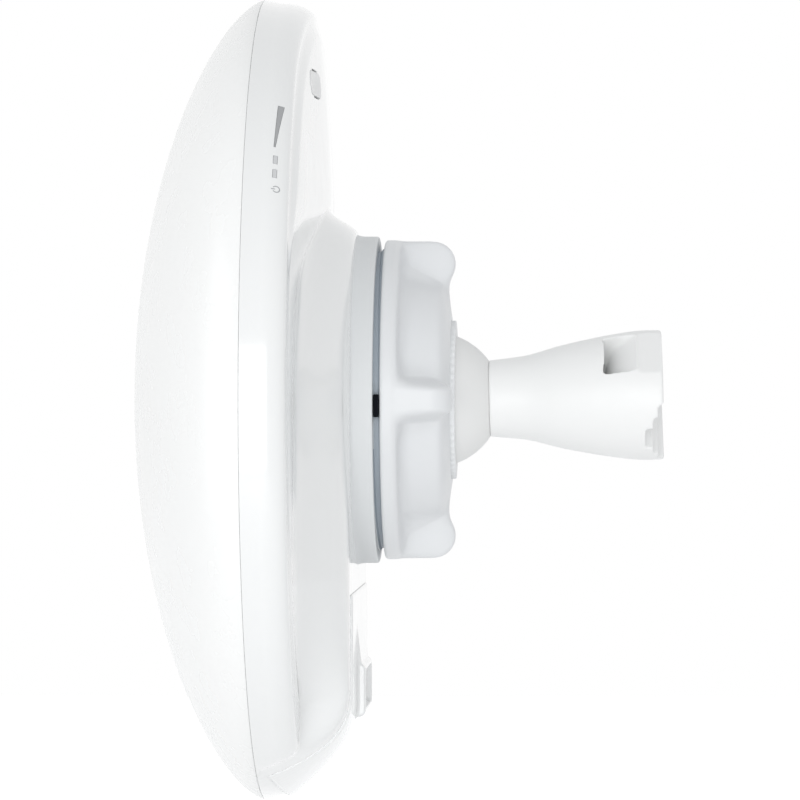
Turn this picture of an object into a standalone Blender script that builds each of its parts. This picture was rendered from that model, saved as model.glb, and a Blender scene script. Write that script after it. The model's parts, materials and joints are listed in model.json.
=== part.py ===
"""Outdoor wireless bridge: a round radio with a domed radome, on a ball-jointed pole arm.

Metres, +Z up. The pole end of the arm is at the origin, the pole lies towards +X and the radome towards -X.
Dish pieces are drawn about the ball's centre with the dish axis along X, arm pieces about the pole end.
"""

import math

import bmesh
import bpy
from mathutils import Matrix, Vector

# Fits
GAP = 0.0003
LOOSE_GAP = 0.0007

# Pole arm
ARM_LENGTH = 0.1182
ARM_TILT = math.radians(1.25)
NECK_RADIUS = 0.0197
THROAT_AT = 0.0694
THROAT_RADIUS = 0.0220
FLARE_AT = 0.0529
FLARE_RADIUS = 0.0264
SHOULDER_AT = 0.0269
SHOULDER_RADIUS = 0.0315
JAW_AT = 0.0114
JAW_RADIUS = 0.0334
JAW_EDGE = 0.0008
ARM_ROLL = math.radians(-47)
ARM_RINGS = 16
STRAP_SLOT_HALF_WIDTH = 0.0134
STRAP_SLOT_CORNER = 0.0020
STRAP_MOUTH_FRONT = 0.0284
STRAP_MOUTH_REAR = 0.0084
STRAP_PATH_FRONT = 0.0335
STRAP_PATH_REAR = 0.0285
STRAP_PATH_POINTS = 15
STRAP_LAND_DROP = 0.0035
STRAP_LAND_LENGTH = 0.0128
GROOVE_HALF_WIDTHS = (0.0183, 0.0124, 0.0065)
GROOVE_DEPTHS = (0.0028, 0.0055, 0.0096)
GROOVE_CORNER = 0.0018

# Ball joint
BALL_RADIUS = 0.0349
BALL_SCREW_RADIUS = 0.0050
BALL_SCREW_HEAD_RADIUS = 0.0085
BALL_SCREW_HEAD = 0.0080
BALL_SCREW_REACH = 0.0240
BALL_WASHER = 0.0020
BALL_RECESS_RADIUS = 0.0115
BALL_RECESS_FLOOR = 0.0060
LINER_WALL = 0.0015
LINER_ANGLE = math.radians(66)

# Mount base and lock ring
SOCKET_FLOOR = 0.0020
SOCKET_WALL = 0.0100
SOCKET_END = 0.0030
THREAD_RADIUS = 0.0780
BOSS_STEP = 0.0065
BOSS_HEIGHT = 0.0108
BOSS_CHAMFER = 0.0009
BASE_FLOOR = 0.0060
THREAD_WALL = 0.0060
BASE_SEAL_INSET = 0.0017
BASE_SEAL_WIDTH = 0.0024
BASE_SEAL_HEIGHT = 0.0015
RING_GAP = 0.0034
RING_STEP = 0.0046
RING_CHAMFER = 0.0020
RING_WALL = 0.0030
RING_FLANGE = 0.0085
RING_LENGTH = 0.0342
HUB_RADIUS = 0.0650
HUB_WALL = 0.0045
DOME_RADIUS = 0.0575
DOME_RISE = 0.0026
DOME_WALL = 0.0042
LOBE_COUNT = 4
LOBE_INSET = 0.0006
LOBE_WIDTH = 0.0165
LOBE_LENGTH = 0.0363
LOBE_ROUND = 0.0114
COLLET_RADIUS = 0.0410
COLLET_LIP = 0.0023
COLLET_FLANGE_CLEARANCE = 0.0029
COLLET_FLANGE = 0.0030
STOP_HEIGHT = 0.0114
STOP_CENTRE = -0.0030
BASE_SCREW_INSET = 0.0083
BASE_SCREW_COUNT = 4
BASE_SCREW_RADIUS = 0.0025
BASE_SCREW_HEAD_RADIUS = 0.0045
BASE_SCREW_HEAD = 0.0030
BASE_SCREW_REACH = 0.0075

# Rear shell
DISH_RADIUS = 0.2065
SHELL_WALL = 0.0034
RIM_HEIGHT = 0.0218
RIM_TAPER = 0.0015
RIM_ROUND = 0.0076
RIM_FLANGE = 0.0030
RIM_FLANGE_WIDTH = 0.0145
HILL_HEIGHT = 0.0241
HILL_MARGIN = 0.0015
HILL_SIDE_RAMP = 0.0700
HILL_TOP_FILLET = 0.0135
HILL_TURN_START = 0.05
HILL_TURN_END = 0.95
HILL_FOOT_INSET = 0.0170
CREASE_DROP = 0.0008
PLATE_RISE = 0.0081
PLATE_CROWN = 0.0038
PLATE_CROWN_INSET = 0.0355
PLATE_BOW = 0.0025
PLATE_BOW_HALF_WIDTH = 0.1150
PLATE_BLEND_LOW = 0.0550
PLATE_BLEND_HIGH = 0.1100
EDGE_WIDTH = 0.0115
TOP_LIFT = 0.0030
TOP_LIFT_HALF_WIDTH = 0.1200
ROLL_LENGTH = 0.0374
ROLL_POWER = 1.683
ROLL_SHOULDER = 1.600
SEAL_INSET = 0.0029
SEAL_WIDTH = 0.0024
SEAL_HEIGHT = 0.0020
SHELL_SEGMENTS = 64
FILLET_RINGS = 5
SHELL_RINGS = 8
EDGE_RINGS = 5

# Radome
RADOME_DEPTH = 0.0673
RADOME_WALL = 0.0025
RADOME_POWER = 0.654
RADOME_LIP_WIDTH = 0.0060
RADOME_RINGS = 12
RADOME_INNER_RINGS = 7

# Reflector and feed
REFLECTOR_SHEET = 0.0012
REFLECTOR_FLANGE_WIDTH = 0.0105
REFLECTOR_RINGS = 6
REFLECTOR_SCREW_COUNT = 4
REFLECTOR_SCREW_RADIUS = 0.0015
REFLECTOR_SCREW_HEAD_RADIUS = 0.0030
REFLECTOR_SCREW_HEAD = 0.0020
FEED_RADIUS = 0.0110
FEED_WALL = 0.0020
FEED_FLANGE_RADIUS = 0.0260
FEED_FLANGE = 0.0040
CONE_LENGTH = 0.0220
CONE_RADIUS = 0.0300
SUB_RADIUS = 0.0360
SUB_THICKNESS = 0.0040
SUB_CLEARANCE = 0.0080

# Radio board and heat path
BOARD_THICKNESS = 0.0016
BOARD_HALF_WIDTH = 0.0620
BOARD_TOP = 0.0700
SHIELD_HALF_WIDTH = 0.0220
SHIELD_LENGTH = 0.0540
SHIELD_HEIGHT = 0.0050
SHIELD_SHEET = 0.0008
PAD_HALF_WIDTH = 0.0150
PAD_THICKNESS = 0.0010
SPREADER_HALF_WIDTH = 0.0372
SPREADER_TOP = 0.0400
SPREADER_CLEARANCE = 0.0070
SPREADER_BASE = 0.0030
FIN_COUNT = 7
FIN_THICKNESS = 0.0024
BOARD_SCREW_Y = 0.0300
BOARD_SCREW_EDGE = 0.0080
BOARD_SCREW_RADIUS = 0.0015
BOARD_SCREW_HEAD_RADIUS = 0.0030
BOARD_SCREW_HEAD = 0.0020

# Ports
JACK_WIDTH = 0.0160
JACK_HEIGHT = 0.0135
JACK_LENGTH = 0.0210
JACK_WALL = 0.0018
JACK_DEPTH = 0.0150
JACK_PITCH = 0.0320
COVER_HALF_WIDTH = 0.0780
COVER_SETBACK = 0.0135
COVER_END_INSET = 0.0020
COVER_RECESS = 0.0014
COVER_PROUD = 0.0012
COVER_ROWS = 30
COVER_COLUMNS = 9
GRIP_HALF_WIDTH = 0.0360
GRIP_RAMP_SHARE = 0.1475
GRIP_TOP_SHARE = 0.3364
GRIP_BOTTOM_SHARE = 0.5899
GRIP_RAMP_HEIGHT = 0.0022
GRIP_HEIGHT = 0.0044
GRIP_WALL = 0.0040
BAY_INSET = 0.0083
BAY_BOTTOM_SHARE = 0.6820
BAY_HALF_WIDTH = 0.0435
BAY_WALL = 0.0016
BAY_DEPTH = 0.0165
BAY_LEDGE = 0.0020
GROMMET_HALF_WIDTH = 0.0105
GROMMET_DEPTH = 0.0080
GROMMET_LIP = 0.0030
GROMMET_SINK = 0.0014
CABLE_SLOT_HALF_WIDTH = 0.0085
CABLE_SLOT_DEPTH = 0.0070

# Button and indicators, placed by angle from the near side towards the top
BUTTON_RADIUS = 0.0063
BUTTON_HALF_LENGTH = 0.0205
BUTTON_INSET = 0.0272
BUTTON_ANGLE = math.radians(69.4)
BUTTON_TRAVEL = 0.0015
BUTTON_PROUD = 0.0004
BUTTON_FLANGE_WIDTH = 0.0019
BUTTON_FLANGE_DROP = 0.0018
BUTTON_FLANGE = 0.0012
BUTTON_STEM = 0.0010
BUTTON_STEM_RADIUS = 0.0030
SWITCH_SIDE = 0.0060
SWITCH_HEIGHT = 0.0035
LED_BOARD_WIDTH = 0.0260
LED_BOARD_INSET = 0.0080
LED_BOARD_START = math.radians(26)
LED_BOARD_END = math.radians(76)
LED_POST_ANGLES = (math.radians(38), math.radians(52))
LED_POST_RADIUS = 0.0030
LENS_FROM_SEAM = 0.0141
LENS_DEPTH = 0.0022
MARK_WIDTH = 0.0024
MARK_LENGTH = 0.0060
POWER_LENGTH = 0.0044
POWER_WIDTH = 0.0040
SIGNAL_LENGTH = 0.0279
SIGNAL_LOW_WIDTH = 0.0010
SIGNAL_TOP_WIDTH = 0.0038
SIGNAL_ANGLE = math.radians(40.6)
STATUS_ANGLES = (math.radians(34.5), math.radians(32.2))
POWER_ANGLE = math.radians(29.7)

# Facets
RING_SEGMENTS = 48
SMALL_SEGMENTS = 14
BALL_SEGMENTS = 40
BUTTON_END_POINTS = 7

# Radii about the dish axis, worked out from the thread, the ring's dome and the dish
BOSS_RADIUS = THREAD_RADIUS + BOSS_STEP
BASE_SEAL_RADIUS = THREAD_RADIUS - BASE_SEAL_INSET
BASE_SCREW_CIRCLE = BASE_SEAL_RADIUS - BASE_SCREW_INSET
RING_RADIUS = THREAD_RADIUS + RING_STEP
LOBE_RADIUS = RING_RADIUS - LOBE_INSET
COLLET_FLANGE_RADIUS = DOME_RADIUS - DOME_RISE - COLLET_FLANGE_CLEARANCE
HILL_HALF_WIDTH = BOSS_RADIUS + HILL_MARGIN
PLATE_CROWN_RADIUS = DISH_RADIUS - PLATE_CROWN_INSET
CREASE_RADIUS = DISH_RADIUS - RIM_TAPER - RIM_ROUND
REFLECTOR_RADIUS = DISH_RADIUS - RADOME_LIP_WIDTH - LOOSE_GAP
BOWL_RADIUS = REFLECTOR_RADIUS - REFLECTOR_FLANGE_WIDTH

# Heights along the dish axis, worked out from the ball's centre
BALL_FLAT_X = math.sqrt(BALL_RADIUS ** 2 - NECK_RADIUS ** 2)
LINER_INNER = BALL_RADIUS + GAP
LINER_OUTER = LINER_INNER + LINER_WALL
SOCKET_RADIUS = LINER_OUTER + GAP
BASE_FRONT = -(SOCKET_RADIUS + SOCKET_FLOOR)
BOSS_FACE = BASE_FRONT + BOSS_HEIGHT
PLATEAU_X = BASE_FRONT - GAP
TRAY_X = PLATEAU_X - HILL_HEIGHT
CREASE_X = TRAY_X - CREASE_DROP
SEAM_X = CREASE_X - RIM_HEIGHT
RING_FRONT = BOSS_FACE + RING_GAP
FLANGE_REAR = RING_FRONT + RING_FLANGE
DOME_REAR = RING_FRONT + RING_LENGTH
ROUND_START_X = CREASE_X - RIM_ROUND
INNER_FLOOR_X = PLATEAU_X - SHELL_WALL
JACK_REAR = INNER_FLOOR_X - BAY_WALL
BOARD_REAR = JACK_REAR - JACK_HEIGHT - GAP
BOARD_FRONT = BOARD_REAR - BOARD_THICKNESS
REFLECTOR_BACK = BOARD_FRONT - SHIELD_HEIGHT - 2 * GAP - LOOSE_GAP
RADOME_FACE = SEAM_X - GAP
BAY_FRONT = INNER_FLOOR_X - BAY_DEPTH

# Distances down the back, from the dish axis
COVER_TOP = BOSS_RADIUS + COVER_SETBACK
ROLL_START = CREASE_RADIUS - ROLL_LENGTH
COVER_LENGTH = DISH_RADIUS - COVER_TOP
GRIP_RAMP_TOP = COVER_TOP + GRIP_RAMP_SHARE * COVER_LENGTH
GRIP_TOP = COVER_TOP + GRIP_TOP_SHARE * COVER_LENGTH
GRIP_BOTTOM = COVER_TOP + GRIP_BOTTOM_SHARE * COVER_LENGTH
BAY_TOP = COVER_TOP + BAY_INSET
BAY_BOTTOM = COVER_TOP + BAY_BOTTOM_SHARE * COVER_LENGTH
JACK_BOTTOM = -BAY_TOP + GAP
SPREADER_BOTTOM = JACK_BOTTOM + JACK_LENGTH + SPREADER_CLEARANCE


def smooth_step(low, high, value):
    share = min(1.0, max(0.0, (value - low) / (high - low)))
    return share * share * (3 - 2 * share)


def mix(a, b, share):
    return a + (b - a) * share


def spread(low, high, count):
    """Evenly spaced values from low to high, both included."""
    return [low + (high - low) * i / (count - 1) for i in range(count)]


def arc(centre, radius, start, end, count):
    """Points on an arc in the (x, radius) plane, by angle from the X axis."""
    return [
        (centre[0] + radius * math.cos(a), centre[1] + radius * math.sin(a))
        for a in spread(start, end, count)
    ]


def material(name, colour, roughness, metallic=0.0):
    found = bpy.data.materials.get(name)
    if found:
        return found
    made = bpy.data.materials.new(name)
    made.use_nodes = True
    shader = made.node_tree.nodes["Principled BSDF"]
    shader.inputs["Base Color"].default_value = (*colour, 1.0)
    shader.inputs["Roughness"].default_value = roughness
    shader.inputs["Metallic"].default_value = metallic
    return made


def white_plastic():
    return material("white_plastic", (0.86, 0.87, 0.87), 0.35)


def grey_plastic():
    return material("grey_white_plastic", (0.76, 0.78, 0.79), 0.45)


def lens_plastic():
    return material("lens_plastic", (0.30, 0.31, 0.32), 0.30)


def black_plastic():
    return material("black_plastic", (0.012, 0.014, 0.020), 0.50)


def rubber():
    return material("seal_rubber", (0.05, 0.05, 0.055), 0.75)


def aluminium():
    return material("aluminium", (0.72, 0.73, 0.74), 0.40, 1.0)


def steel():
    return material("steel", (0.60, 0.61, 0.62), 0.30, 1.0)


def circuit_board():
    return material("circuit_board", (0.02, 0.16, 0.07), 0.45)


def low_friction_plastic():
    return material("low_friction_plastic", (0.88, 0.88, 0.85), 0.55)


def mesh_object(name, bm, parent, place=(0, 0, 0)):
    bmesh.ops.recalc_face_normals(bm, faces=bm.faces)
    mesh = bpy.data.meshes.new(name)
    bm.to_mesh(mesh)
    bm.free()
    made = bpy.data.objects.new(name, mesh)
    made.location = place
    made.parent = parent
    bpy.context.scene.collection.objects.link(made)
    return made


def piece(name, bm, finish, parent, place=(0, 0, 0)):
    made = mesh_object(name, bm, parent, place)
    made.data.materials.append(finish)
    made.data.shade_smooth()
    made.data.set_sharp_from_angle(angle=math.radians(32))
    return made


def apply_shape(target, name, bm, operation="DIFFERENCE"):
    """Cuts a shape from the target or joins it on. The shape is drawn in the target's own frame."""
    cutter = mesh_object(f"{target.name}_{name}", bm, target.parent, target.location)
    cutter.hide_render = True
    cutter.display_type = "WIRE"
    step = target.modifiers.new(name, "BOOLEAN")
    step.operation = operation
    step.object = cutter
    step.solver = "EXACT"


def turned(profile, segments, closed=True):
    """Solid turned about the X axis from (x, radius) points. An open profile starts and ends on the axis."""
    bm = bmesh.new()
    verts = [bm.verts.new((x, 0, r)) for x, r in profile]
    ends = verts[1:] + verts[:1] if closed else verts[1:]
    edges = [bm.edges.new(pair) for pair in zip(verts, ends)]
    bmesh.ops.spin(
        bm, geom=verts + edges, axis=(1, 0, 0), cent=(0, 0, 0), angle=math.tau, steps=segments, use_merge=True
    )
    bmesh.ops.remove_doubles(bm, verts=bm.verts, dist=1e-6)
    return bm


def block(low, high):
    bm = bmesh.new()
    bmesh.ops.create_cube(bm, size=1)
    size = [b - a for a, b in zip(low, high)]
    middle = [(a + b) / 2 for a, b in zip(low, high)]
    bmesh.ops.scale(bm, vec=size, verts=bm.verts)
    bmesh.ops.translate(bm, vec=middle, verts=bm.verts)
    return bm


def prism(corners, travel):
    """Solid pushed out from a flat outline by the travel vector."""
    bm = bmesh.new()
    face = bm.faces.new([bm.verts.new(c) for c in corners])
    moved = bmesh.ops.extrude_face_region(bm, geom=[face])
    verts = [v for v in moved["geom"] if isinstance(v, bmesh.types.BMVert)]
    bmesh.ops.translate(bm, vec=travel, verts=verts)
    return bm


def rods(places, front, rear, radius):
    """Cylinders along X, one at each (y, z) place, in one shape."""
    bm = bmesh.new()
    turn = Matrix.Rotation(math.pi / 2, 4, "Y")
    for y, z in places:
        at = Matrix.Translation(((front + rear) / 2, y, z))
        bmesh.ops.create_cone(
            bm, cap_ends=True, segments=SMALL_SEGMENTS, radius1=radius, radius2=radius, depth=rear - front,
            matrix=at @ turn,
        )
    return bm


def screw(name, place, head_front, head, head_radius, tip, radius, parent):
    """Cap screw along X: its head starts at head_front and its shank ends at tip."""
    under = head_front + head
    profile = [
        (head_front, 0), (head_front, head_radius), (under, head_radius),
        (under, radius), (tip, radius), (tip, 0),
    ]
    piece(name, turned(profile, SMALL_SEGMENTS, closed=False), steel(), parent, (0, *place))


def circle_places(radius, count, start):
    return [
        (radius * math.cos(start + math.tau * i / count), radius * math.sin(start + math.tau * i / count))
        for i in range(count)
    ]


def near_place(radius, angle):
    """(y, z) on a circle about the dish axis, by angle from the near side (-Y) towards the top."""
    return (-radius * math.cos(angle), radius * math.sin(angle))


def hill_roll(y, radius):
    """Height of the hill, which rolls over towards the rim at its lower end, with fuller shoulders."""
    roll = max(0.0, radius - ROLL_START) / ROLL_LENGTH
    shoulder = ROLL_SHOULDER * min(1.0, (y / HILL_HALF_WIDTH) ** 2)
    return mix(PLATEAU_X, CREASE_X, roll ** (ROLL_POWER + shoulder))


def hill_share(y, z):
    """How much of the hill there is at a place: 1 on its top, 0 beyond the foot of its ramp."""
    radius = math.hypot(y, z)
    if z > 0:
        outside = radius - HILL_HALF_WIDTH
        turn = smooth_step(HILL_TURN_START, HILL_TURN_END, z / radius)
        ramp = mix(HILL_SIDE_RAMP, HILL_TOP_FILLET, turn)
    else:
        outside = abs(y) - HILL_HALF_WIDTH
        foot = math.sqrt(max(0.0, (CREASE_RADIUS - HILL_FOOT_INSET) ** 2 - z ** 2))
        ramp = max(HILL_TOP_FILLET, min(HILL_SIDE_RAMP, foot - HILL_HALF_WIDTH))
    return 1 - smooth_step(0, ramp, outside)


def back_surface(y, z):
    """Height of the shell's rear face along the dish axis."""
    radius = math.hypot(y, z)
    share = hill_share(y, z)
    hill = hill_roll(y, radius)
    lift = TOP_LIFT * (1 - smooth_step(0, TOP_LIFT_HALF_WIDTH, abs(y))) if z > 0 else 0.0
    if radius > CREASE_RADIUS:
        out = min(radius - CREASE_RADIUS, RIM_ROUND)
        rim = ROUND_START_X + (RIM_ROUND + lift) * math.sqrt(1 - (out / RIM_ROUND) ** 2)
        return mix(rim, min(rim, hill), share)
    plate = TRAY_X + PLATE_RISE - PLATE_CROWN * (radius / PLATE_CROWN_RADIUS) ** 4
    plate += PLATE_BOW * (1 - smooth_step(0, PLATE_BOW_HALF_WIDTH, abs(y)))
    around = mix(TRAY_X, plate, smooth_step(PLATE_BLEND_LOW, PLATE_BLEND_HIGH, z))
    edge = smooth_step(CREASE_RADIUS - EDGE_WIDTH, CREASE_RADIUS, radius)
    around = mix(around, CREASE_X + lift, edge)
    return mix(around, hill, share)


def dome_profile(radius, depth, count):
    """(x, radius) points of the radome's curve from the apex to the rim, closer together near the rim."""
    points = []
    for share in spread(0, math.pi / 2, count):
        r = radius * math.sin(share)
        points.append((SEAM_X - depth * (1 - (r / radius) ** 2) ** RADOME_POWER, r))
    return points


def front_radome(parent):
    outer = dome_profile(DISH_RADIUS, RADOME_DEPTH, RADOME_RINGS)
    inner = dome_profile(DISH_RADIUS - RADOME_WALL, RADOME_DEPTH - RADOME_WALL, RADOME_INNER_RINGS)
    lip_top = RADOME_FACE - RADOME_WALL
    lip_radius = DISH_RADIUS - RADOME_LIP_WIDTH
    profile = [p for p in outer if p[0] < RADOME_FACE - GAP]
    profile += [(RADOME_FACE, DISH_RADIUS), (RADOME_FACE, lip_radius), (lip_top, lip_radius)]
    profile += [p for p in reversed(inner) if p[0] < lip_top - GAP and p[1] < lip_radius + RADOME_LIP_WIDTH]
    piece("front_radome", turned(profile, SHELL_SEGMENTS, closed=False), white_plastic(), parent)


def rim_seal(parent):
    outer = DISH_RADIUS - SEAL_INSET
    profile = [
        (SEAM_X, outer), (SEAM_X, outer - SEAL_WIDTH),
        (SEAM_X + SEAL_HEIGHT, outer - SEAL_WIDTH), (SEAM_X + SEAL_HEIGHT, outer),
    ]
    piece("rim_seal", turned(profile, SHELL_SEGMENTS), rubber(), parent)


def cover_grid(grow):
    """Grid of (y, z) places under the port cover, from its straight top edge to an arc along the rim.

    A grown grid keeps the same inner places, is wider by grow on three sides and runs out past the rim.
    """
    end = DISH_RADIUS - COVER_END_INSET
    columns = spread(-COVER_HALF_WIDTH, COVER_HALF_WIDTH, COVER_COLUMNS)
    grid = []
    for row in range(COVER_ROWS):
        share = row / (COVER_ROWS - 1)
        grid.append([(y, mix(-COVER_TOP, -math.sqrt(end ** 2 - y ** 2), share)) for y in columns])
    if grow:
        grid[0] = [(y, z + grow) for y, z in grid[0]]
        grid.append([(y, -math.sqrt((DISH_RADIUS + SHELL_WALL) ** 2 - y ** 2)) for y in columns])
        grid = [[(r[0][0] - grow, r[0][1])] + r[1:-1] + [(r[-1][0] + grow, r[-1][1])] for r in grid]
    return grid


def surface_slab(grid, low, high):
    """Solid between the back surface plus low and the back surface plus high, over a grid of places."""
    bm = bmesh.new()
    layers = []
    for lift in (low, high):
        layers.append([[bm.verts.new((back_surface(y, z) + lift, y, z)) for y, z in row] for row in grid])
    for under, over in zip(layers, layers[1:]):
        border = [under[0], under[-1], [r[0] for r in under], [r[-1] for r in under]]
        across = [over[0], over[-1], [r[0] for r in over], [r[-1] for r in over]]
        for a, b in zip(border, across):
            for i in range(len(a) - 1):
                bm.faces.new((a[i], a[i + 1], b[i + 1], b[i]))
    for layer in layers:
        for upper, lower in zip(layer, layer[1:]):
            for i in range(len(upper) - 1):
                bm.faces.new((upper[i], upper[i + 1], lower[i + 1], lower[i]))
    bmesh.ops.triangulate(bm, faces=bm.faces)
    return bm


def shell_solid():
    """Rear shell before its openings are cut: rim, back surface and an inner face one wall below it."""
    hill_start = HILL_HALF_WIDTH - LOOSE_GAP
    edge_start = CREASE_RADIUS - EDGE_WIDTH
    fillet_end = HILL_HALF_WIDTH + HILL_TOP_FILLET
    radii = spread(hill_start, fillet_end, FILLET_RINGS)
    radii += spread(fillet_end, edge_start, SHELL_RINGS)[1:]
    radii += spread(edge_start, CREASE_RADIUS, EDGE_RINGS)[1:]
    seal_outer = DISH_RADIUS - SEAL_INSET + GAP
    seal_inner = seal_outer - SEAL_WIDTH - 2 * GAP
    seal_floor = SEAM_X + SEAL_HEIGHT + GAP
    flange_radius = DISH_RADIUS - RIM_FLANGE_WIDTH
    inner_radius = DISH_RADIUS - RIM_TAPER - SHELL_WALL
    profile = [(0, 0), (0, hill_start / 2)] + [(0, r) for r in radii]
    profile += [(0, CREASE_RADIUS + out) for _, out in arc((0, 0), RIM_ROUND, 0, math.pi / 2, 4)[1:]]
    profile += [(SEAM_X, DISH_RADIUS), (SEAM_X, seal_outer), (seal_floor, seal_outer)]
    profile += [(seal_floor, seal_inner), (SEAM_X, seal_inner)]
    profile += [(SEAM_X, flange_radius), (SEAM_X + RIM_FLANGE, flange_radius)]
    profile += [(SEAM_X + RIM_FLANGE, inner_radius), (ROUND_START_X - RIM_ROUND, inner_radius)]
    profile += [(-SHELL_WALL, r - SHELL_WALL) for r in reversed(radii)]
    profile += [(-SHELL_WALL, hill_start / 2), (-SHELL_WALL, 0)]
    bm = turned(profile, SHELL_SEGMENTS, closed=False)
    for vert in bm.verts:
        if vert.co.x > -2 * SHELL_WALL:
            vert.co.x += back_surface(vert.co.y, vert.co.z)
    bmesh.ops.triangulate(bm, faces=bm.faces)
    return bm


def rim_radius(x):
    """Radius of the rim's outside: a slight taper from the seam, then the rounding."""
    if x > ROUND_START_X:
        return CREASE_RADIUS + math.sqrt(RIM_ROUND ** 2 - (x - ROUND_START_X) ** 2)
    return DISH_RADIUS - RIM_TAPER * (x - SEAM_X) / (ROUND_START_X - SEAM_X)


def lens_list():
    """Name, angle, length round the rim and widths at the low and top ends of each indicator mark."""
    marks = [("signal_lens", SIGNAL_ANGLE, SIGNAL_LENGTH, SIGNAL_LOW_WIDTH, SIGNAL_TOP_WIDTH)]
    for i, angle in enumerate(STATUS_ANGLES):
        marks.append((f"status_lens_{i + 1}", angle, MARK_LENGTH, MARK_WIDTH, MARK_WIDTH))
    marks.append(("power_lens", POWER_ANGLE, POWER_LENGTH, POWER_WIDTH, POWER_WIDTH))
    return marks


def lens_block(angle, length, low_width, top_width, gap=0.0):
    """Block let into the rim. With a gap it is the pocket for it, larger all round and open outwards."""
    front = SEAM_X + LENS_FROM_SEAM
    bottom = rim_radius(front) - LENS_DEPTH - gap
    bm = block((-1, -1, -length / 2 - gap), (1, 1, length / 2 + gap))
    for vert in bm.verts:
        width = low_width if vert.co.z > 0 else top_width
        vert.co.x = front + width + gap if vert.co.x > 0 else front - gap
        outside = DISH_RADIUS + SHELL_WALL if gap else rim_radius(vert.co.x)
        vert.co.y = outside if vert.co.y > 0 else bottom
    turn = Matrix.Rotation(math.pi - angle, 4, "X")
    bmesh.ops.transform(bm, matrix=turn, verts=bm.verts)
    return bm


def lenses(parent):
    for name, *sizes in lens_list():
        piece(name, lens_block(*sizes), lens_plastic(), parent)


def button_outline(grow):
    """(y, z) outline of the button, a bar with round ends, larger all round by grow."""
    y, z = near_place(CREASE_RADIUS - BUTTON_INSET, BUTTON_ANGLE)
    end = BUTTON_HALF_LENGTH - BUTTON_RADIUS
    right = arc((end, 0), BUTTON_RADIUS + grow, -math.pi / 2, math.pi / 2, BUTTON_END_POINTS)
    return [(y + across, z + up) for across, up in right + [(-a, -b) for a, b in right]]


def button_bar(grow, bottom, top):
    """Bar with the button's outline between two heights."""
    return prism([(bottom, y, z) for y, z in button_outline(grow)], (top - bottom, 0, 0))


def button_flange_top():
    """Height of the button's flange, clear of the lowest part of the shell's wall over it."""
    lowest = min(back_surface(y, z) for y, z in button_outline(BUTTON_FLANGE_WIDTH))
    return lowest - SHELL_WALL - BUTTON_FLANGE_DROP


def led_board_faces():
    """Front and rear heights of the indicator board, below the button, its travel and its switch."""
    rear = button_flange_top() - BUTTON_FLANGE - BUTTON_STEM
    rear -= BUTTON_TRAVEL + GAP + SWITCH_HEIGHT + GAP
    return rear - BOARD_THICKNESS, rear


def bay_edge(z):
    """Rear edge of the port bay, just inside the shell's wall at the bay's two sides."""
    return back_surface(BAY_HALF_WIDTH, z) - SHELL_WALL - LOOSE_GAP


def bay_outline(inset):
    """(x, z) outline of the port bay seen from the side, open end at the shell, with its front wall inset."""
    top = -BAY_TOP - inset
    bottom = -BAY_BOTTOM + inset
    front = BAY_FRONT + inset
    low_front = bay_edge(-BAY_BOTTOM) - BAY_DEPTH + inset
    outline = [(front, top), (front, -ROLL_START), (low_front, bottom)]
    return outline + [(bay_edge(z) + 10 * inset, z) for z in spread(bottom, top, 7)]


def merged(shapes):
    """Several separate shapes as one."""
    whole = bmesh.new()
    for shape in shapes:
        bmesh.ops.recalc_face_normals(shape, faces=shape.faces)
        passing = bpy.data.meshes.new("passing")
        shape.to_mesh(passing)
        shape.free()
        whole.from_mesh(passing)
        bpy.data.meshes.remove(passing)
    return whole


def port_opening():
    """Window into the port bay with the grommet's notch below it, as one cutting shape."""
    side = BAY_HALF_WIDTH - BAY_LEDGE
    top = -BAY_TOP - BAY_LEDGE
    bottom = -BAY_BOTTOM + BAY_LEDGE
    half = GROMMET_HALF_WIDTH + GAP
    outside = -DISH_RADIUS - SHELL_WALL
    outline = [
        (-side, top), (side, top), (side, bottom), (half, bottom),
        (half, outside), (-half, outside), (-half, bottom), (-side, bottom),
    ]
    front = ROUND_START_X - GROMMET_LIP - GAP
    return prism([(front, y, z) for y, z in outline], (-front, 0, 0))


def rear_shell(parent):
    shell = piece("rear_shell", shell_solid(), white_plastic(), parent)
    middle = CREASE_RADIUS - LED_BOARD_INSET - LED_BOARD_WIDTH / 2
    posts = []
    for angle in LED_POST_ANGLES:
        y, z = near_place(middle, angle)
        wall_middle = back_surface(y, z) - SHELL_WALL / 2
        posts.append(rods([(y, z)], led_board_faces()[1] + GAP, wall_middle, LED_POST_RADIUS))
    apply_shape(shell, "posts", merged(posts), "UNION")
    apply_shape(shell, "cover_seat", surface_slab(cover_grid(GAP), -COVER_RECESS, HILL_HEIGHT))
    apply_shape(shell, "port_opening", port_opening())
    base_holes = circle_places(BASE_SCREW_CIRCLE, BASE_SCREW_COUNT, math.pi / 4)
    flange_holes = circle_places(BOWL_RADIUS + REFLECTOR_FLANGE_WIDTH / 2, REFLECTOR_SCREW_COUNT, math.pi / 4)
    holes = [
        button_bar(GAP, TRAY_X - SHELL_WALL * 3, 0),
        rods(base_holes, PLATEAU_X - 2 * SHELL_WALL, 0, BASE_SCREW_RADIUS + GAP),
        rods(flange_holes, SEAM_X - RIM_FLANGE, SEAM_X + 2 * RIM_FLANGE, REFLECTOR_SCREW_RADIUS + GAP),
    ]
    holes += [lens_block(*sizes, GAP) for _, *sizes in lens_list()]
    apply_shape(shell, "holes", merged(holes))


def reflector_sheet(radius, lift):
    """Height of the reflector's back face at a radius, raised by lift."""
    depth = REFLECTOR_BACK - RADOME_FACE
    return REFLECTOR_BACK - depth * (radius / BOWL_RADIUS) ** 2 + lift


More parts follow.
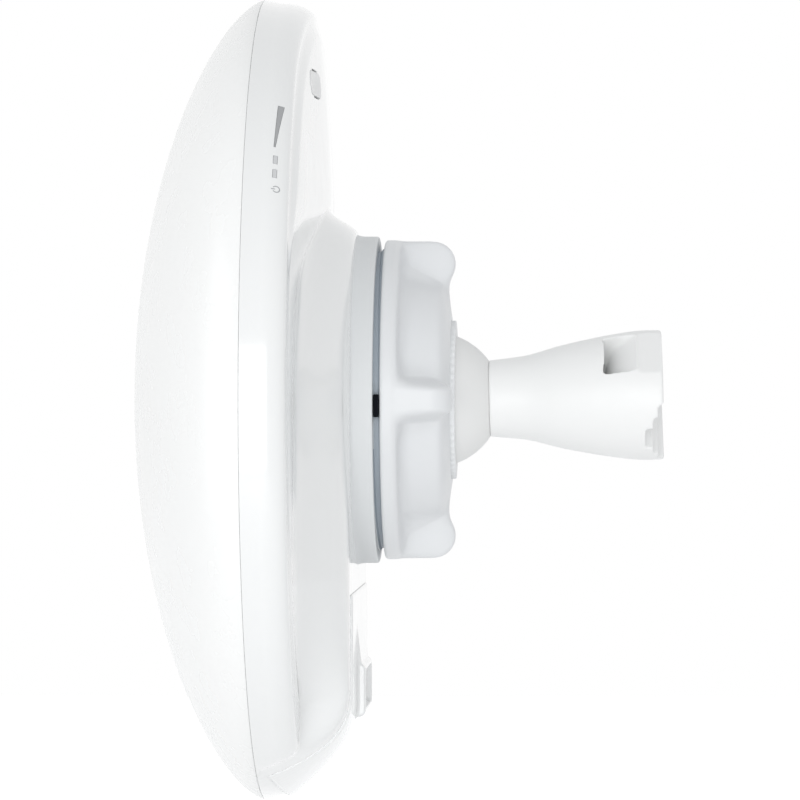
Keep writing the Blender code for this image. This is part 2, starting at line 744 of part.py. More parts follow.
def main_reflector(parent):
    hole = FEED_RADIUS + GAP
    radii = spread(hole, BOWL_RADIUS, REFLECTOR_RINGS)
    profile = [(reflector_sheet(r, 0), r) for r in radii]
    profile += [(RADOME_FACE, REFLECTOR_RADIUS), (RADOME_FACE - REFLECTOR_SHEET, REFLECTOR_RADIUS)]
    profile += [(reflector_sheet(r, -REFLECTOR_SHEET), r) for r in reversed(radii)]
    dish = piece("main_reflector", turned(profile, RING_SEGMENTS), aluminium(), parent)
    holes = circle_places(BOWL_RADIUS + REFLECTOR_FLANGE_WIDTH / 2, REFLECTOR_SCREW_COUNT, math.pi / 4)
    reach = 2 * REFLECTOR_SHEET
    drills = rods(holes, RADOME_FACE - reach, RADOME_FACE + reach, REFLECTOR_SCREW_RADIUS + GAP)
    apply_shape(dish, "screw_holes", drills)
    head_front = RADOME_FACE - REFLECTOR_SHEET - GAP - REFLECTOR_SCREW_HEAD
    for i, place in enumerate(holes):
        screw(
            f"reflector_screw_{i + 1}", place, head_front, REFLECTOR_SCREW_HEAD, REFLECTOR_SCREW_HEAD_RADIUS,
            SEAM_X + RIM_FLANGE, REFLECTOR_SCREW_RADIUS, parent,
        )


def feed(parent):
    inner = FEED_RADIUS - FEED_WALL
    sub_front = SEAM_X - RADOME_DEPTH + RADOME_WALL + SUB_CLEARANCE
    sub_rear = sub_front + SUB_THICKNESS
    cone_front = sub_rear + GAP
    tube_front = cone_front + CONE_LENGTH
    tube_rear = BOARD_FRONT - GAP
    tube = [(tube_front, inner), (tube_front, FEED_RADIUS), (tube_rear, FEED_RADIUS), (tube_rear, inner)]
    piece("feed_tube", turned(tube, RING_SEGMENTS // 2), aluminium(), parent)
    rear = reflector_sheet(FEED_FLANGE_RADIUS, -REFLECTOR_SHEET) - GAP
    bore = FEED_RADIUS + GAP
    flange = [
        (rear - FEED_FLANGE, bore), (rear - FEED_FLANGE, FEED_FLANGE_RADIUS),
        (rear, FEED_FLANGE_RADIUS), (rear, bore),
    ]
    piece("feed_flange", turned(flange, RING_SEGMENTS // 2), aluminium(), parent)
    plug = inner - GAP
    cone = [
        (cone_front, 0), (cone_front, CONE_RADIUS), (tube_front - GAP, FEED_RADIUS), (tube_front - GAP, plug),
        (tube_front + FEED_RADIUS, plug), (tube_front + FEED_RADIUS, 0),
    ]
    piece("feed_cone", turned(cone, RING_SEGMENTS // 2, closed=False), low_friction_plastic(), parent)
    sub = [
        (sub_front, 0), (sub_front, SUB_RADIUS - SUB_THICKNESS / 2),
        (sub_front + SUB_THICKNESS / 2, SUB_RADIUS), (sub_rear, SUB_RADIUS), (sub_rear, 0),
    ]
    piece("sub_reflector", turned(sub, RING_SEGMENTS // 2, closed=False), aluminium(), parent)


def board_screw_places():
    top = SPREADER_TOP - BOARD_SCREW_EDGE
    bottom = SPREADER_BOTTOM + BOARD_SCREW_EDGE
    return [(y, z) for y in (-BOARD_SCREW_Y, BOARD_SCREW_Y) for z in (bottom, top)]


def radio(parent):
    bottom = JACK_BOTTOM
    board = piece(
        "radio_board",
        block((BOARD_FRONT, -BOARD_HALF_WIDTH, bottom), (BOARD_REAR, BOARD_HALF_WIDTH, BOARD_TOP)),
        circuit_board(), parent,
    )
    places = board_screw_places()
    apply_shape(board, "holes", rods(places, BOARD_FRONT - GAP, BOARD_REAR + GAP, BOARD_SCREW_RADIUS + GAP))
    rear = BOARD_FRONT - GAP
    top = -FEED_RADIUS - BOARD_SCREW_HEAD
    low = (rear - SHIELD_HEIGHT, -SHIELD_HALF_WIDTH, top - SHIELD_LENGTH)
    high = (rear, SHIELD_HALF_WIDTH, top)
    can = piece("rf_shield", block(low, high), steel(), parent)
    inside_low = [v + SHIELD_SHEET for v in low]
    inside_high = (rear + SHIELD_SHEET, high[1] - SHIELD_SHEET, high[2] - SHIELD_SHEET)
    apply_shape(can, "inside", block(inside_low, inside_high))
    pad_front = BOARD_REAR + GAP
    pad_rear = pad_front + PAD_THICKNESS
    middle = (SPREADER_TOP + SPREADER_BOTTOM) / 2
    pad = block(
        (pad_front, -PAD_HALF_WIDTH, middle - PAD_HALF_WIDTH),
        (pad_rear, PAD_HALF_WIDTH, middle + PAD_HALF_WIDTH),
    )
    piece("thermal_pad", pad, material("pad_grey", (0.45, 0.46, 0.48), 0.8), parent)
    base_front = pad_rear + GAP
    base_rear = base_front + SPREADER_BASE
    fin_tip = INNER_FLOOR_X - GAP
    outline = [(base_front, -SPREADER_HALF_WIDTH), (base_front, SPREADER_HALF_WIDTH)]
    pitch = (2 * SPREADER_HALF_WIDTH - FIN_THICKNESS) / (FIN_COUNT - 1)
    for i in range(FIN_COUNT):
        outer = SPREADER_HALF_WIDTH - pitch * i
        inner = outer - FIN_THICKNESS
        root_out = [(base_rear, outer)] if i else []
        root_in = [(base_rear, inner)] if i < FIN_COUNT - 1 else []
        outline += root_out + [(fin_tip, outer), (fin_tip, inner)] + root_in
    comb = prism([(x, y, SPREADER_BOTTOM) for x, y in outline], (0, 0, SPREADER_TOP - SPREADER_BOTTOM))
    spreader = piece("heat_spreader", comb, aluminium(), parent)
    apply_shape(spreader, "holes", rods(places, base_front - GAP, base_rear + GAP, BOARD_SCREW_RADIUS + GAP))
    for i, place in enumerate(places):
        screw(
            f"board_screw_{i + 1}", place, BOARD_FRONT - GAP - BOARD_SCREW_HEAD, BOARD_SCREW_HEAD,
            BOARD_SCREW_HEAD_RADIUS, base_rear, BOARD_SCREW_RADIUS, parent,
        )


def jack_box(i, inset):
    """Low and high corners of a jack, drawn in from its outside by inset."""
    middle = JACK_PITCH * (i - 0.5)
    front = BOARD_REAR + GAP
    low = (front + inset, middle - JACK_WIDTH / 2 + inset, JACK_BOTTOM)
    high = (front + JACK_HEIGHT - inset, middle + JACK_WIDTH / 2 - inset, JACK_BOTTOM + JACK_LENGTH)
    return low, high


def network_jacks(parent):
    for i in range(2):
        jack = piece(f"network_jack_{i + 1}", block(*jack_box(i, 0)), black_plastic(), parent)
        low, high = jack_box(i, JACK_WALL)
        mouth = block((low[0], low[1], low[2] - JACK_WALL), (high[0], high[1], low[2] + JACK_DEPTH))
        apply_shape(jack, "mouth", mouth)


def port_bay(parent):
    def tray(inset):
        half = BAY_HALF_WIDTH - inset
        return prism([(x, -half, z) for x, z in bay_outline(inset)], (0, 2 * half, 0))

    bay = piece("port_bay", tray(0), grey_plastic(), parent)
    apply_shape(bay, "inside", tray(BAY_WALL))
    for i in range(2):
        low, high = jack_box(i, JACK_WALL)
        hole = block((low[0], low[1], -BAY_TOP - 2 * BAY_WALL), (high[0], high[1], -BAY_TOP + BAY_WALL))
        apply_shape(bay, f"plug_hole_{i}", hole)
    half = CABLE_SLOT_HALF_WIDTH
    slot_front = bay_edge(-BAY_BOTTOM) - CABLE_SLOT_DEPTH
    slot = block((slot_front, -half, -BAY_BOTTOM - BAY_WALL), (0, half, -BAY_BOTTOM + 2 * BAY_WALL))
    apply_shape(bay, "cable_slot", slot)


def cable_grommet(parent):
    inside = -BAY_BOTTOM - GAP
    outside = -DISH_RADIUS + 2 * COVER_END_INSET
    outline = [(ROUND_START_X - GROMMET_LIP, outside), (bay_edge(-BAY_BOTTOM) - GROMMET_DEPTH, inside)]
    outline += [(back_surface(0, z) - COVER_RECESS - GROMMET_SINK, z) for z in spread(inside, outside, 10)]
    half = GROMMET_HALF_WIDTH
    piece("cable_grommet", prism([(x, -half, z) for x, z in outline], (0, 2 * half, 0)), rubber(), parent)


def port_cover(parent):
    slab = surface_slab(cover_grid(0), GAP - COVER_RECESS, COVER_PROUD)
    cover = piece("port_cover", slab, white_plastic(), parent)
    face = PLATEAU_X + COVER_PROUD
    root = PLATEAU_X - COVER_RECESS / 2
    outline = [
        (root, -GRIP_RAMP_TOP), (face, -GRIP_RAMP_TOP), (face + GRIP_RAMP_HEIGHT, -GRIP_TOP),
        (face + GRIP_HEIGHT, -GRIP_TOP - GRIP_RAMP_HEIGHT),
        (face + GRIP_HEIGHT, -GRIP_BOTTOM + GRIP_RAMP_HEIGHT),
        (face + GRIP_HEIGHT / 2, -GRIP_BOTTOM), (root, -GRIP_BOTTOM),
    ]
    half = GRIP_HALF_WIDTH
    apply_shape(cover, "grip", prism([(x, -half, z) for x, z in outline], (0, 2 * half, 0)), "UNION")
    scoop_half = GRIP_HALF_WIDTH - GRIP_WALL
    scoop = [
        (face + GRIP_RAMP_HEIGHT / 2, -GRIP_BOTTOM + GRIP_WALL),
        (face + GRIP_RAMP_HEIGHT, -GRIP_TOP - GRIP_WALL),
        (face + 2 * GRIP_HEIGHT, -GRIP_TOP - GRIP_WALL),
        (face + 2 * GRIP_HEIGHT, -GRIP_BOTTOM + GRIP_WALL),
    ]
    apply_shape(cover, "scoop", prism([(x, -scoop_half, z) for x, z in scoop], (0, 2 * scoop_half, 0)))


def reset_button(parent):
    under = button_flange_top()
    floor = under - BUTTON_FLANGE
    button = piece("reset_button", button_bar(BUTTON_FLANGE_WIDTH, floor, under), grey_plastic(), parent)
    cap = button_bar(0, under - BUTTON_FLANGE / 2, 0)
    for vert in cap.verts:
        if vert.co.x > under:
            vert.co.x = back_surface(vert.co.y, vert.co.z) + BUTTON_PROUD
    bmesh.ops.triangulate(cap, faces=cap.faces)
    apply_shape(button, "cap", cap, "UNION")
    place = near_place(CREASE_RADIUS - BUTTON_INSET, BUTTON_ANGLE)
    stem = rods([place], floor - BUTTON_STEM, floor + BUTTON_FLANGE / 2, BUTTON_STEM_RADIUS)
    apply_shape(button, "stem", stem, "UNION")


def indicator_board(parent):
    front, rear = led_board_faces()
    outer = CREASE_RADIUS - LED_BOARD_INSET
    angles = spread(LED_BOARD_START, LED_BOARD_END, 9)
    outline = [near_place(outer, a) for a in angles]
    outline += [near_place(outer - LED_BOARD_WIDTH, a) for a in reversed(angles)]
    board = prism([(front, y, z) for y, z in outline], (rear - front, 0, 0))
    piece("indicator_board", board, circuit_board(), parent)
    y, z = near_place(CREASE_RADIUS - BUTTON_INSET, BUTTON_ANGLE)
    half = SWITCH_SIDE / 2
    foot = rear + GAP
    switch = block((foot, y - half, z - half), (foot + SWITCH_HEIGHT, y + half, z + half))
    piece("reset_switch", switch, black_plastic(), parent)


def mount_base(parent):
    collar_end = FLANGE_REAR - RING_WALL - GAP
    socket_edge = math.sqrt(SOCKET_RADIUS ** 2 - SOCKET_END ** 2)
    socket_outer = SOCKET_RADIUS + SOCKET_WALL
    seal_outer = BASE_SEAL_RADIUS + BASE_SEAL_WIDTH + GAP
    seal_inner = BASE_SEAL_RADIUS - GAP
    seal_floor = BASE_FRONT + BASE_SEAL_HEIGHT + GAP
    groove_floor = BASE_FRONT + BASE_FLOOR
    profile = [
        (BASE_FRONT, 0), (BASE_FRONT, seal_inner), (seal_floor, seal_inner), (seal_floor, seal_outer),
        (BASE_FRONT, seal_outer), (BASE_FRONT, BOSS_RADIUS), (BOSS_FACE - BOSS_CHAMFER, BOSS_RADIUS),
        (BOSS_FACE, BOSS_RADIUS - BOSS_CHAMFER), (BOSS_FACE, THREAD_RADIUS), (collar_end, THREAD_RADIUS),
        (collar_end, THREAD_RADIUS - THREAD_WALL), (groove_floor, THREAD_RADIUS - THREAD_WALL),
        (groove_floor, socket_outer), (-SOCKET_END, socket_outer),
    ]
    start = math.atan2(socket_edge, -SOCKET_END)
    profile += arc((0, 0), SOCKET_RADIUS, start, math.pi, 9)[:-1]
    profile.append((-SOCKET_RADIUS, 0))
    base = piece("mount_base", turned(profile, RING_SEGMENTS, closed=False), grey_plastic(), parent)
    holes = circle_places(BASE_SCREW_CIRCLE, BASE_SCREW_COUNT, math.pi / 4)
    tip = BASE_FRONT + BASE_SCREW_REACH
    for i, place in enumerate(holes):
        boss = rods([place], BASE_FRONT + BASE_FLOOR / 2, tip + GAP * 4, BASE_SCREW_HEAD_RADIUS)
        apply_shape(base, f"screw_post_{i}", boss, "UNION")
    apply_shape(base, "screw_holes", rods(holes, BASE_FRONT - GAP, tip + GAP, BASE_SCREW_RADIUS + GAP))
    seal = [
        (BASE_FRONT, BASE_SEAL_RADIUS), (BASE_FRONT, BASE_SEAL_RADIUS + BASE_SEAL_WIDTH),
        (BASE_FRONT + BASE_SEAL_HEIGHT, BASE_SEAL_RADIUS + BASE_SEAL_WIDTH),
        (BASE_FRONT + BASE_SEAL_HEIGHT, BASE_SEAL_RADIUS),
    ]
    piece("base_seal", turned(seal, RING_SEGMENTS), rubber(), parent)
    for i, place in enumerate(holes):
        head_front = INNER_FLOOR_X - GAP - BASE_SCREW_HEAD
        screw(
            f"base_screw_{i + 1}", place, head_front, BASE_SCREW_HEAD, BASE_SCREW_HEAD_RADIUS, tip,
            BASE_SCREW_RADIUS, parent,
        )


def ring_stop(parent):
    inner = THREAD_RADIUS + GAP
    outer = RING_RADIUS - GAP
    low = (BOSS_FACE + GAP, -outer, STOP_CENTRE - STOP_HEIGHT / 2)
    high = (RING_FRONT - GAP, -inner, STOP_CENTRE + STOP_HEIGHT / 2)
    piece("ring_stop", block(low, high), black_plastic(), parent)


def lock_ring(parent):
    thread_bore = THREAD_RADIUS + GAP
    opening = COLLET_RADIUS + GAP
    step = FLANGE_REAR - RING_WALL
    shoulder = DOME_REAR - DOME_RISE
    hub_inner = HUB_RADIUS - HUB_WALL
    profile = [
        (RING_FRONT, thread_bore), (RING_FRONT, RING_RADIUS - RING_CHAMFER),
        (RING_FRONT + RING_CHAMFER, RING_RADIUS), (FLANGE_REAR, RING_RADIUS),
        (FLANGE_REAR, HUB_RADIUS), (shoulder - DOME_RISE, DOME_RADIUS + DOME_RISE),
        (shoulder, DOME_RADIUS), (DOME_REAR, opening + DOME_RISE), (DOME_REAR, opening),
        (DOME_REAR - DOME_WALL, opening), (shoulder - DOME_WALL, DOME_RADIUS - DOME_RISE),
        (step, hub_inner), (step, thread_bore),
    ]
    ring = piece("lock_ring", turned(profile, RING_SEGMENTS), white_plastic(), parent)
    lobe_rear = RING_FRONT + LOBE_LENGTH
    centre = (lobe_rear - LOBE_ROUND, LOBE_RADIUS - LOBE_ROUND)
    front = RING_FRONT + RING_WALL
    flange_middle = FLANGE_REAR - RING_WALL / 2
    root = (thread_bore + LOBE_RADIUS) / 2
    wall_middle = HUB_RADIUS - HUB_WALL / 2
    outline = [(front, root), (front, LOBE_RADIUS)]
    outline += arc(centre, LOBE_ROUND, math.pi / 2, math.radians(-35), 7)
    outline.append((shoulder - DOME_WALL / 2, DOME_RADIUS - DOME_RISE / 2))
    outline += [(flange_middle, wall_middle), (flange_middle, root)]
    half = LOBE_WIDTH / 2
    for i in range(LOBE_COUNT):
        lobe = prism([(x, -half, r) for x, r in outline], (0, 2 * half, 0))
        turn = Matrix.Rotation(math.tau * i / LOBE_COUNT, 4, "X")
        bmesh.ops.transform(lobe, matrix=turn, verts=lobe.verts)
        apply_shape(ring, f"lobe_{i}", lobe, "UNION")


def clamp_collet(parent):
    inner = BALL_RADIUS + GAP
    shoulder = DOME_REAR - DOME_RISE
    flange_rear = shoulder - DOME_WALL - GAP
    flange_front = flange_rear - COLLET_FLANGE
    rear = DOME_REAR + COLLET_LIP
    start = math.acos(rear / inner)
    end = math.acos(flange_front / inner)
    profile = arc((0, 0), inner, start, end, 6)
    profile += [
        (flange_front, COLLET_FLANGE_RADIUS), (flange_rear, COLLET_FLANGE_RADIUS),
        (flange_rear, COLLET_RADIUS), (rear, COLLET_RADIUS),
    ]
    piece("clamp_collet", turned(profile, RING_SEGMENTS), grey_plastic(), parent)


def ball_liner(parent):
    profile = arc((0, 0), LINER_OUTER, math.pi, math.pi - LINER_ANGLE, 7)
    profile += arc((0, 0), LINER_INNER, math.pi - LINER_ANGLE, math.pi, 7)
    profile[0] = (-LINER_OUTER, 0)
    profile[-1] = (-LINER_INNER, 0)
    piece("ball_liner", turned(profile, BALL_SEGMENTS, closed=False), low_friction_plastic(), parent)


def ball_and_screw(parent):
    bore = BALL_SCREW_RADIUS + GAP
    front = math.pi - math.asin(BALL_RECESS_RADIUS / BALL_RADIUS)
    rear = math.asin(NECK_RADIUS / BALL_RADIUS)
    profile = [(BALL_FLAT_X, bore)] + arc((0, 0), BALL_RADIUS, rear, front, 13)
    profile += [(BALL_RECESS_FLOOR, BALL_RECESS_RADIUS), (BALL_RECESS_FLOOR, bore)]
    piece("ball", turned(profile, BALL_SEGMENTS), grey_plastic(), parent)
    washer_rear = BALL_RECESS_FLOOR - GAP
    washer_front = washer_rear - BALL_WASHER
    rim = BALL_RECESS_RADIUS - GAP
    washer = [(washer_front, bore), (washer_front, rim), (washer_rear, rim), (washer_rear, bore)]
    piece("ball_washer", turned(washer, SMALL_SEGMENTS * 2), steel(), parent)
    screw(
        "ball_screw", (0, 0), washer_front - GAP - BALL_SCREW_HEAD, BALL_SCREW_HEAD, BALL_SCREW_HEAD_RADIUS,
        BALL_FLAT_X + GAP + BALL_SCREW_REACH, BALL_SCREW_RADIUS, parent,
    )


def arm_front():
    return -ARM_LENGTH + BALL_FLAT_X + GAP


def arm_radius(x):
    """Radius of the arm at a distance along it, through the stations given at the top."""
    stations = [
        (arm_front(), NECK_RADIUS), (-THROAT_AT, THROAT_RADIUS), (-FLARE_AT, FLARE_RADIUS),
        (-SHOULDER_AT, SHOULDER_RADIUS), (-JAW_AT, JAW_RADIUS), (0, JAW_RADIUS),
    ]
    slopes = [(b[1] - a[1]) / (b[0] - a[0]) for a, b in zip(stations, stations[1:])]
    tangents = [slopes[0]] + [(a + b) / 2 for a, b in zip(slopes, slopes[1:])] + [0]
    for i, (a, b) in enumerate(zip(stations, stations[1:])):
        if x <= b[0]:
            break
    span = b[0] - a[0]
    t = (x - a[0]) / span
    rise = a[1] * (1 + 2 * t) * (1 - t) ** 2 + b[1] * t * t * (3 - 2 * t)
    return rise + span * (tangents[i] * t * (1 - t) ** 2 - tangents[i + 1] * t * t * (1 - t))


def groove_outline():
    """(x, y) outline of the pole groove: three steps down each side, each with a hollow inner corner."""
    wall = []
    tread = JAW_RADIUS
    for half_width, depth in zip(GROOVE_HALF_WIDTHS, GROOVE_DEPTHS):
        corner = (-depth + GROOVE_CORNER, half_width - GROOVE_CORNER)
        wall.append((tread, half_width))
        wall += arc(corner, GROOVE_CORNER, math.pi / 2, math.pi, 4)
        tread = -depth
    return wall + [(x, -y) for x, y in reversed(wall)]


def strap_path():
    """(x, y) outline of the strap slot, which bows away from the pole in the middle of the arm."""
    sides = spread(-JAW_RADIUS - STRAP_SLOT_CORNER, JAW_RADIUS + STRAP_SLOT_CORNER, STRAP_PATH_POINTS)

    def wall(y, middle, mouth):
        return -mix(middle, mouth, (y / JAW_RADIUS) ** 2)

    front = [(wall(y, STRAP_PATH_FRONT, STRAP_MOUTH_FRONT), y) for y in sides]
    rear = [(wall(y, STRAP_PATH_REAR, STRAP_MOUTH_REAR), y) for y in reversed(sides)]
    return front + rear


def strap_slot():
    """Cutting shape of the strap slot, with its long corners rounded."""
    half = STRAP_SLOT_HALF_WIDTH
    bm = prism([(x, y, -half) for x, y in strap_path()], (0, 0, 2 * half))
    ends = [face for face in bm.faces if abs(face.normal.z) > 0.5]
    corners = list({edge for face in ends for edge in face.edges})
    bmesh.ops.bevel(
        bm, geom=corners, offset=STRAP_SLOT_CORNER, segments=2, profile=0.5, affect="EDGES", material=-1
    )
    return bm


def pole_arm(parent):
    profile = [(arm_front(), 0)] + [(x, arm_radius(x)) for x in spread(arm_front(), -JAW_EDGE, ARM_RINGS)]
    profile += [(0, JAW_RADIUS - JAW_EDGE), (0, 0)]
    arm = piece("pole_arm", turned(profile, BALL_SEGMENTS, closed=False), white_plastic(), parent)
    hole_end = arm_front() + BALL_SCREW_REACH + GAP
    apply_shape(arm, "screw_hole", rods([(0, 0)], arm_front() - GAP, hole_end, BALL_SCREW_RADIUS + GAP))
    reach = 2 * JAW_RADIUS
    land = JAW_RADIUS - STRAP_LAND_DROP
    lands = [
        block((-STRAP_LAND_LENGTH, land, -reach), (reach, reach, reach)),
        block((-STRAP_LAND_LENGTH, -reach, -reach), (reach, -land, reach)),
    ]
    apply_shape(arm, "strap_lands", merged(lands))
    apply_shape(arm, "strap_slot", strap_slot())
    groove = prism([(x, y, -reach) for x, y in groove_outline()], (0, 0, 2 * reach))
    apply_shape(arm, "pole_groove", groove)


def frame_empty(name, place, roll=0, tilt=0, parent=None):
    made = bpy.data.objects.new(name, None)
    made.location = place
    made.rotation_euler = (roll, tilt, 0)
    made.parent = parent
    bpy.context.scene.collection.objects.link(made)
    return made


def build():
    for old in list(bpy.data.objects):
        bpy.data.objects.remove(old, do_unlink=True)
    centre = Vector((-ARM_LENGTH * math.cos(ARM_TILT), 0, -ARM_LENGTH * math.sin(ARM_TILT)))
    pole_frame = frame_empty("pole_frame", (0, 0, 0), ARM_ROLL, -ARM_TILT)
    ball_frame = frame_empty("ball_frame", (-ARM_LENGTH, 0, 0), parent=pole_frame)
    dish_frame = frame_empty("dish_frame", centre)
    pole_arm(pole_frame)
    ball_and_screw(ball_frame)
    for make in (
        ball_liner, mount_base, ring_stop, clamp_collet, lock_ring, rear_shell, rim_seal, front_radome,
        lenses, main_reflector, feed, radio, network_jacks, port_bay, cable_grommet, port_cover,
        reset_button, indicator_board,
    ):
        make(dish_frame)


build()
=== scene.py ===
import json
import math

import bmesh
import bpy
from mathutils import Matrix, Vector


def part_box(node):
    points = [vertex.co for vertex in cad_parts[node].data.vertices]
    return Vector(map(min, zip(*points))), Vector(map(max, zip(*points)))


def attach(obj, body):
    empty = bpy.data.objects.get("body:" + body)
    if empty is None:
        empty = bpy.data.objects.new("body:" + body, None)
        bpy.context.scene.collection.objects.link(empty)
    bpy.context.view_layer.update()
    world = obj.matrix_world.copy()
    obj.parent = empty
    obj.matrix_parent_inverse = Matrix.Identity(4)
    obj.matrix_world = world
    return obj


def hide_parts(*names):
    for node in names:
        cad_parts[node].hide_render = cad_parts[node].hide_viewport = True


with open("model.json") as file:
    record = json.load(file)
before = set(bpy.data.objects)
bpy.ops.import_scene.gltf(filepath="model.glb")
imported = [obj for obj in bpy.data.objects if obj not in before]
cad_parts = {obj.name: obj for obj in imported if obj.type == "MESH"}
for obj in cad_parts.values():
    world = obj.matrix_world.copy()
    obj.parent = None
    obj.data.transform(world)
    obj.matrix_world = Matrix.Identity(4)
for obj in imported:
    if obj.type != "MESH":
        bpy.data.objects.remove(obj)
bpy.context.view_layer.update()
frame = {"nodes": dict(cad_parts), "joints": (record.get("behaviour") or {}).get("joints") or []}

# The dish pieces are drawn about the ball's centre with the dish axis along X, then moved there.
# The arm is drawn along X from its pole end, then rolled and tilted with the ball's roll axis.

joints = {joint["name"]: joint for joint in frame["joints"]}
BALL_CENTRE = Vector(joints["ball_roll"]["pos_m"])
ARM_AXIS = Vector(joints["ball_roll"]["axis"]).normalized()
ARM_ROLL = math.radians(-47)
TO_DISH = Matrix.Translation(BALL_CENTRE)
TO_ARM = ARM_AXIS.to_track_quat("X", "Z").to_matrix().to_4x4() @ Matrix.Rotation(ARM_ROLL, 4, "X")
ARM_LENGTH = BALL_CENTRE.length


def span(node):
    """Lowest and highest corner of a solid, measured from the ball's centre."""
    low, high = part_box(node)
    return Vector(low) - BALL_CENTRE, Vector(high) - BALL_CENTRE


# Fits, walls and lengths that count as nothing
GAP = 0.0003
SHELL_WALL = 0.0034
HAIR = 1e-6
TINY = 1e-9

# Dish outline, from the solids' own boxes
DISH_RADIUS = span("rear_shell")[1].z
SEAM_X = span("rear_shell")[0].x
RADOME_APEX = span("front_radome")[0].x
RADOME_FACE = span("front_radome")[1].x
BASE_FRONT = span("mount_base")[0].x
PLATEAU_X = BASE_FRONT - GAP
RING_FRONT = span("lock_ring")[0].x
LOBE_REAR = span("lock_ring")[1].x
COLLET_REAR = span("clamp_collet")[1].x
BOSS_RADIUS = span("mount_base")[1].z
RING_RADIUS = span("lock_ring")[1].z
COLLET_FLANGE_RADIUS = span("clamp_collet")[1].z

# Rear shell
RIM_HEIGHT = 0.0218
RIM_TAPER = 0.0015
RIM_ROUND = 0.0076
RIM_ROUND_LENGTH = 0.0135
HILL_HEIGHT = 0.0241
HILL_HALF_WIDTH = BOSS_RADIUS + 0.0015
HILL_SIDE_RAMP = 0.0700
HILL_TOP_FILLET = 0.0135
HILL_FOOT_INSET = 0.0170
PLATE_RISE = 0.0081
PLATE_CROWN = 0.0038
PLATE_CROWN_RADIUS = DISH_RADIUS - 0.0355
PLATE_BOW = 0.0025
PLATE_BOW_HALF_WIDTH = 0.1150
PLATE_BLEND_LOW = 0.0550
PLATE_BLEND_HIGH = 0.1100
EDGE_WIDTH = 0.0115
TOP_LIFT = 0.0030
TOP_LIFT_HALF_WIDTH = 0.1200
ROLL_LENGTH = 0.0374
ROLL_POWER = 1.683
ROLL_SHOULDER = 1.600
TRAY_X = PLATEAU_X - HILL_HEIGHT
CREASE_X = SEAM_X + RIM_HEIGHT
CREASE_RADIUS = DISH_RADIUS - RIM_TAPER - RIM_ROUND
ROUND_START_X = CREASE_X - RIM_ROUND_LENGTH
ROLL_START = CREASE_RADIUS - ROLL_LENGTH
INNER_RINGS = (0.03, 0.06)
HILL_RING_START = HILL_HALF_WIDTH - 0.0007
SHELL_FLANGE_WIDTH = 0.0145
SHELL_FLANGE_THICKNESS = 0.0030
SEAM_ROUND = 0.0002
SHELL_SEGMENTS = 320
SHELL_SHARP = 55

# Radome
RADOME_WALL = 0.0025
RADOME_POWER = 0.654
RADOME_LIP_WIDTH = 0.0060
RADOME_EDGE_START = 0.0012
RADOME_EDGE_ROUNDS = (0.0002, 0.0004)
RADOME_SEGMENTS = 192
SEAM_LINE = 0.00012

# Mount base, lock ring and collet
BOSS_HEIGHT = 0.0108
BOSS_FOOT = 0.0014
BOSS_FOOT_LENGTH = 0.0050
BOSS_EDGE_ROUND = 0.0012
BOSS_FACE = BASE_FRONT + BOSS_HEIGHT
BASE_FLOOR = 0.0060
THREAD_RADIUS = 0.0780
THREAD_WALL = 0.0060
THREAD_DEPTH = 0.0013
THREAD_PITCH = 0.0060
THREAD_TURNS = 1.5
THREAD_STEPS = 144
THREAD_START = BOSS_FACE - 0.0050
THREAD_SUNK = 0.0002
THREAD_CREST_START = 0.0010
THREAD_CREST_END = 0.0028
THREAD_FOOT_END = 0.0038
# Where the collar's faces start to carry the painted shade of the gap before the lock ring
THREAD_SHADE_START = BOSS_FACE + 0.0001
TURNED_SEGMENTS = 160
SOCKET_RADIUS = 0.0370
SOCKET_WALL = 0.0100
SOCKET_END = 0.0030
RING_FLANGE = 0.0085
RING_LENGTH = 0.0342
RING_WALL = 0.0030
RING_FLANGE_EDGE = 0.0030
RING_FRONT_ROUND = 0.0020
RING_VALLEY_ROUNDS = (0.0022, 0.0060, 0.0030)
RING_MOUTH_ROUNDS = (0.0040, 0.0006)
RING_PATH_POINTS = 44
RING_SHARP = 75
HUB_RADIUS = 0.0650
HUB_WALL = 0.0045
DOME_RADIUS = 0.0575
DOME_RISE = 0.0026
DOME_WALL = 0.0042
LOBE_RADIUS = 0.0820
LOBE_WIDTH = 0.0165
LOBE_ROUND = 0.0114
LOBE_COUNT = 4
LOBE_SEGMENTS = 96
LOBE_ARC_END = -35
LOBE_EASING = 14
LOBE_TURN_RADIUS = LOBE_RADIUS * 0.8
LOBE_GENTLE_SHARE = 0.28
# Distances from the side of a lobe: inwards to where its flank starts, outwards to where it ends
LOBE_FLANK_START = 0.0030
LOBE_STEEP_END = 0.0036
LOBE_GENTLE_END = 0.0170
LOBE_STRAIGHT_START = 0.0020
LOBE_STRAIGHT_END = 0.0140
# Shares of the way from the middle of a lobe to the middle of a gap, and their angles in degrees
SPOKE_SHARES = (0.0, 0.16, 0.62, 1.0)
SPOKE_ANGLES = (0.0, 3.2, 10.0, 45.0)
COLLET_RADIUS = 0.0410
COLLET_FLANGE_THICKNESS = 0.0030
COLLET_EDGE_ROUND = 0.0008
COLLET_SIDE_START = 0.0005
COLLET_SEGMENTS = 360
COLLET_SHARP = 50
RIB_COUNT = 60
RIB_DEPTH = 0.018
RIB_START = 0.0002
RIB_INNER_RADIUS = 0.0360
RIB_OUTER_RADIUS = 0.0410
FLANGE_REAR = RING_FRONT + RING_FLANGE
DOME_REAR = RING_FRONT + RING_LENGTH

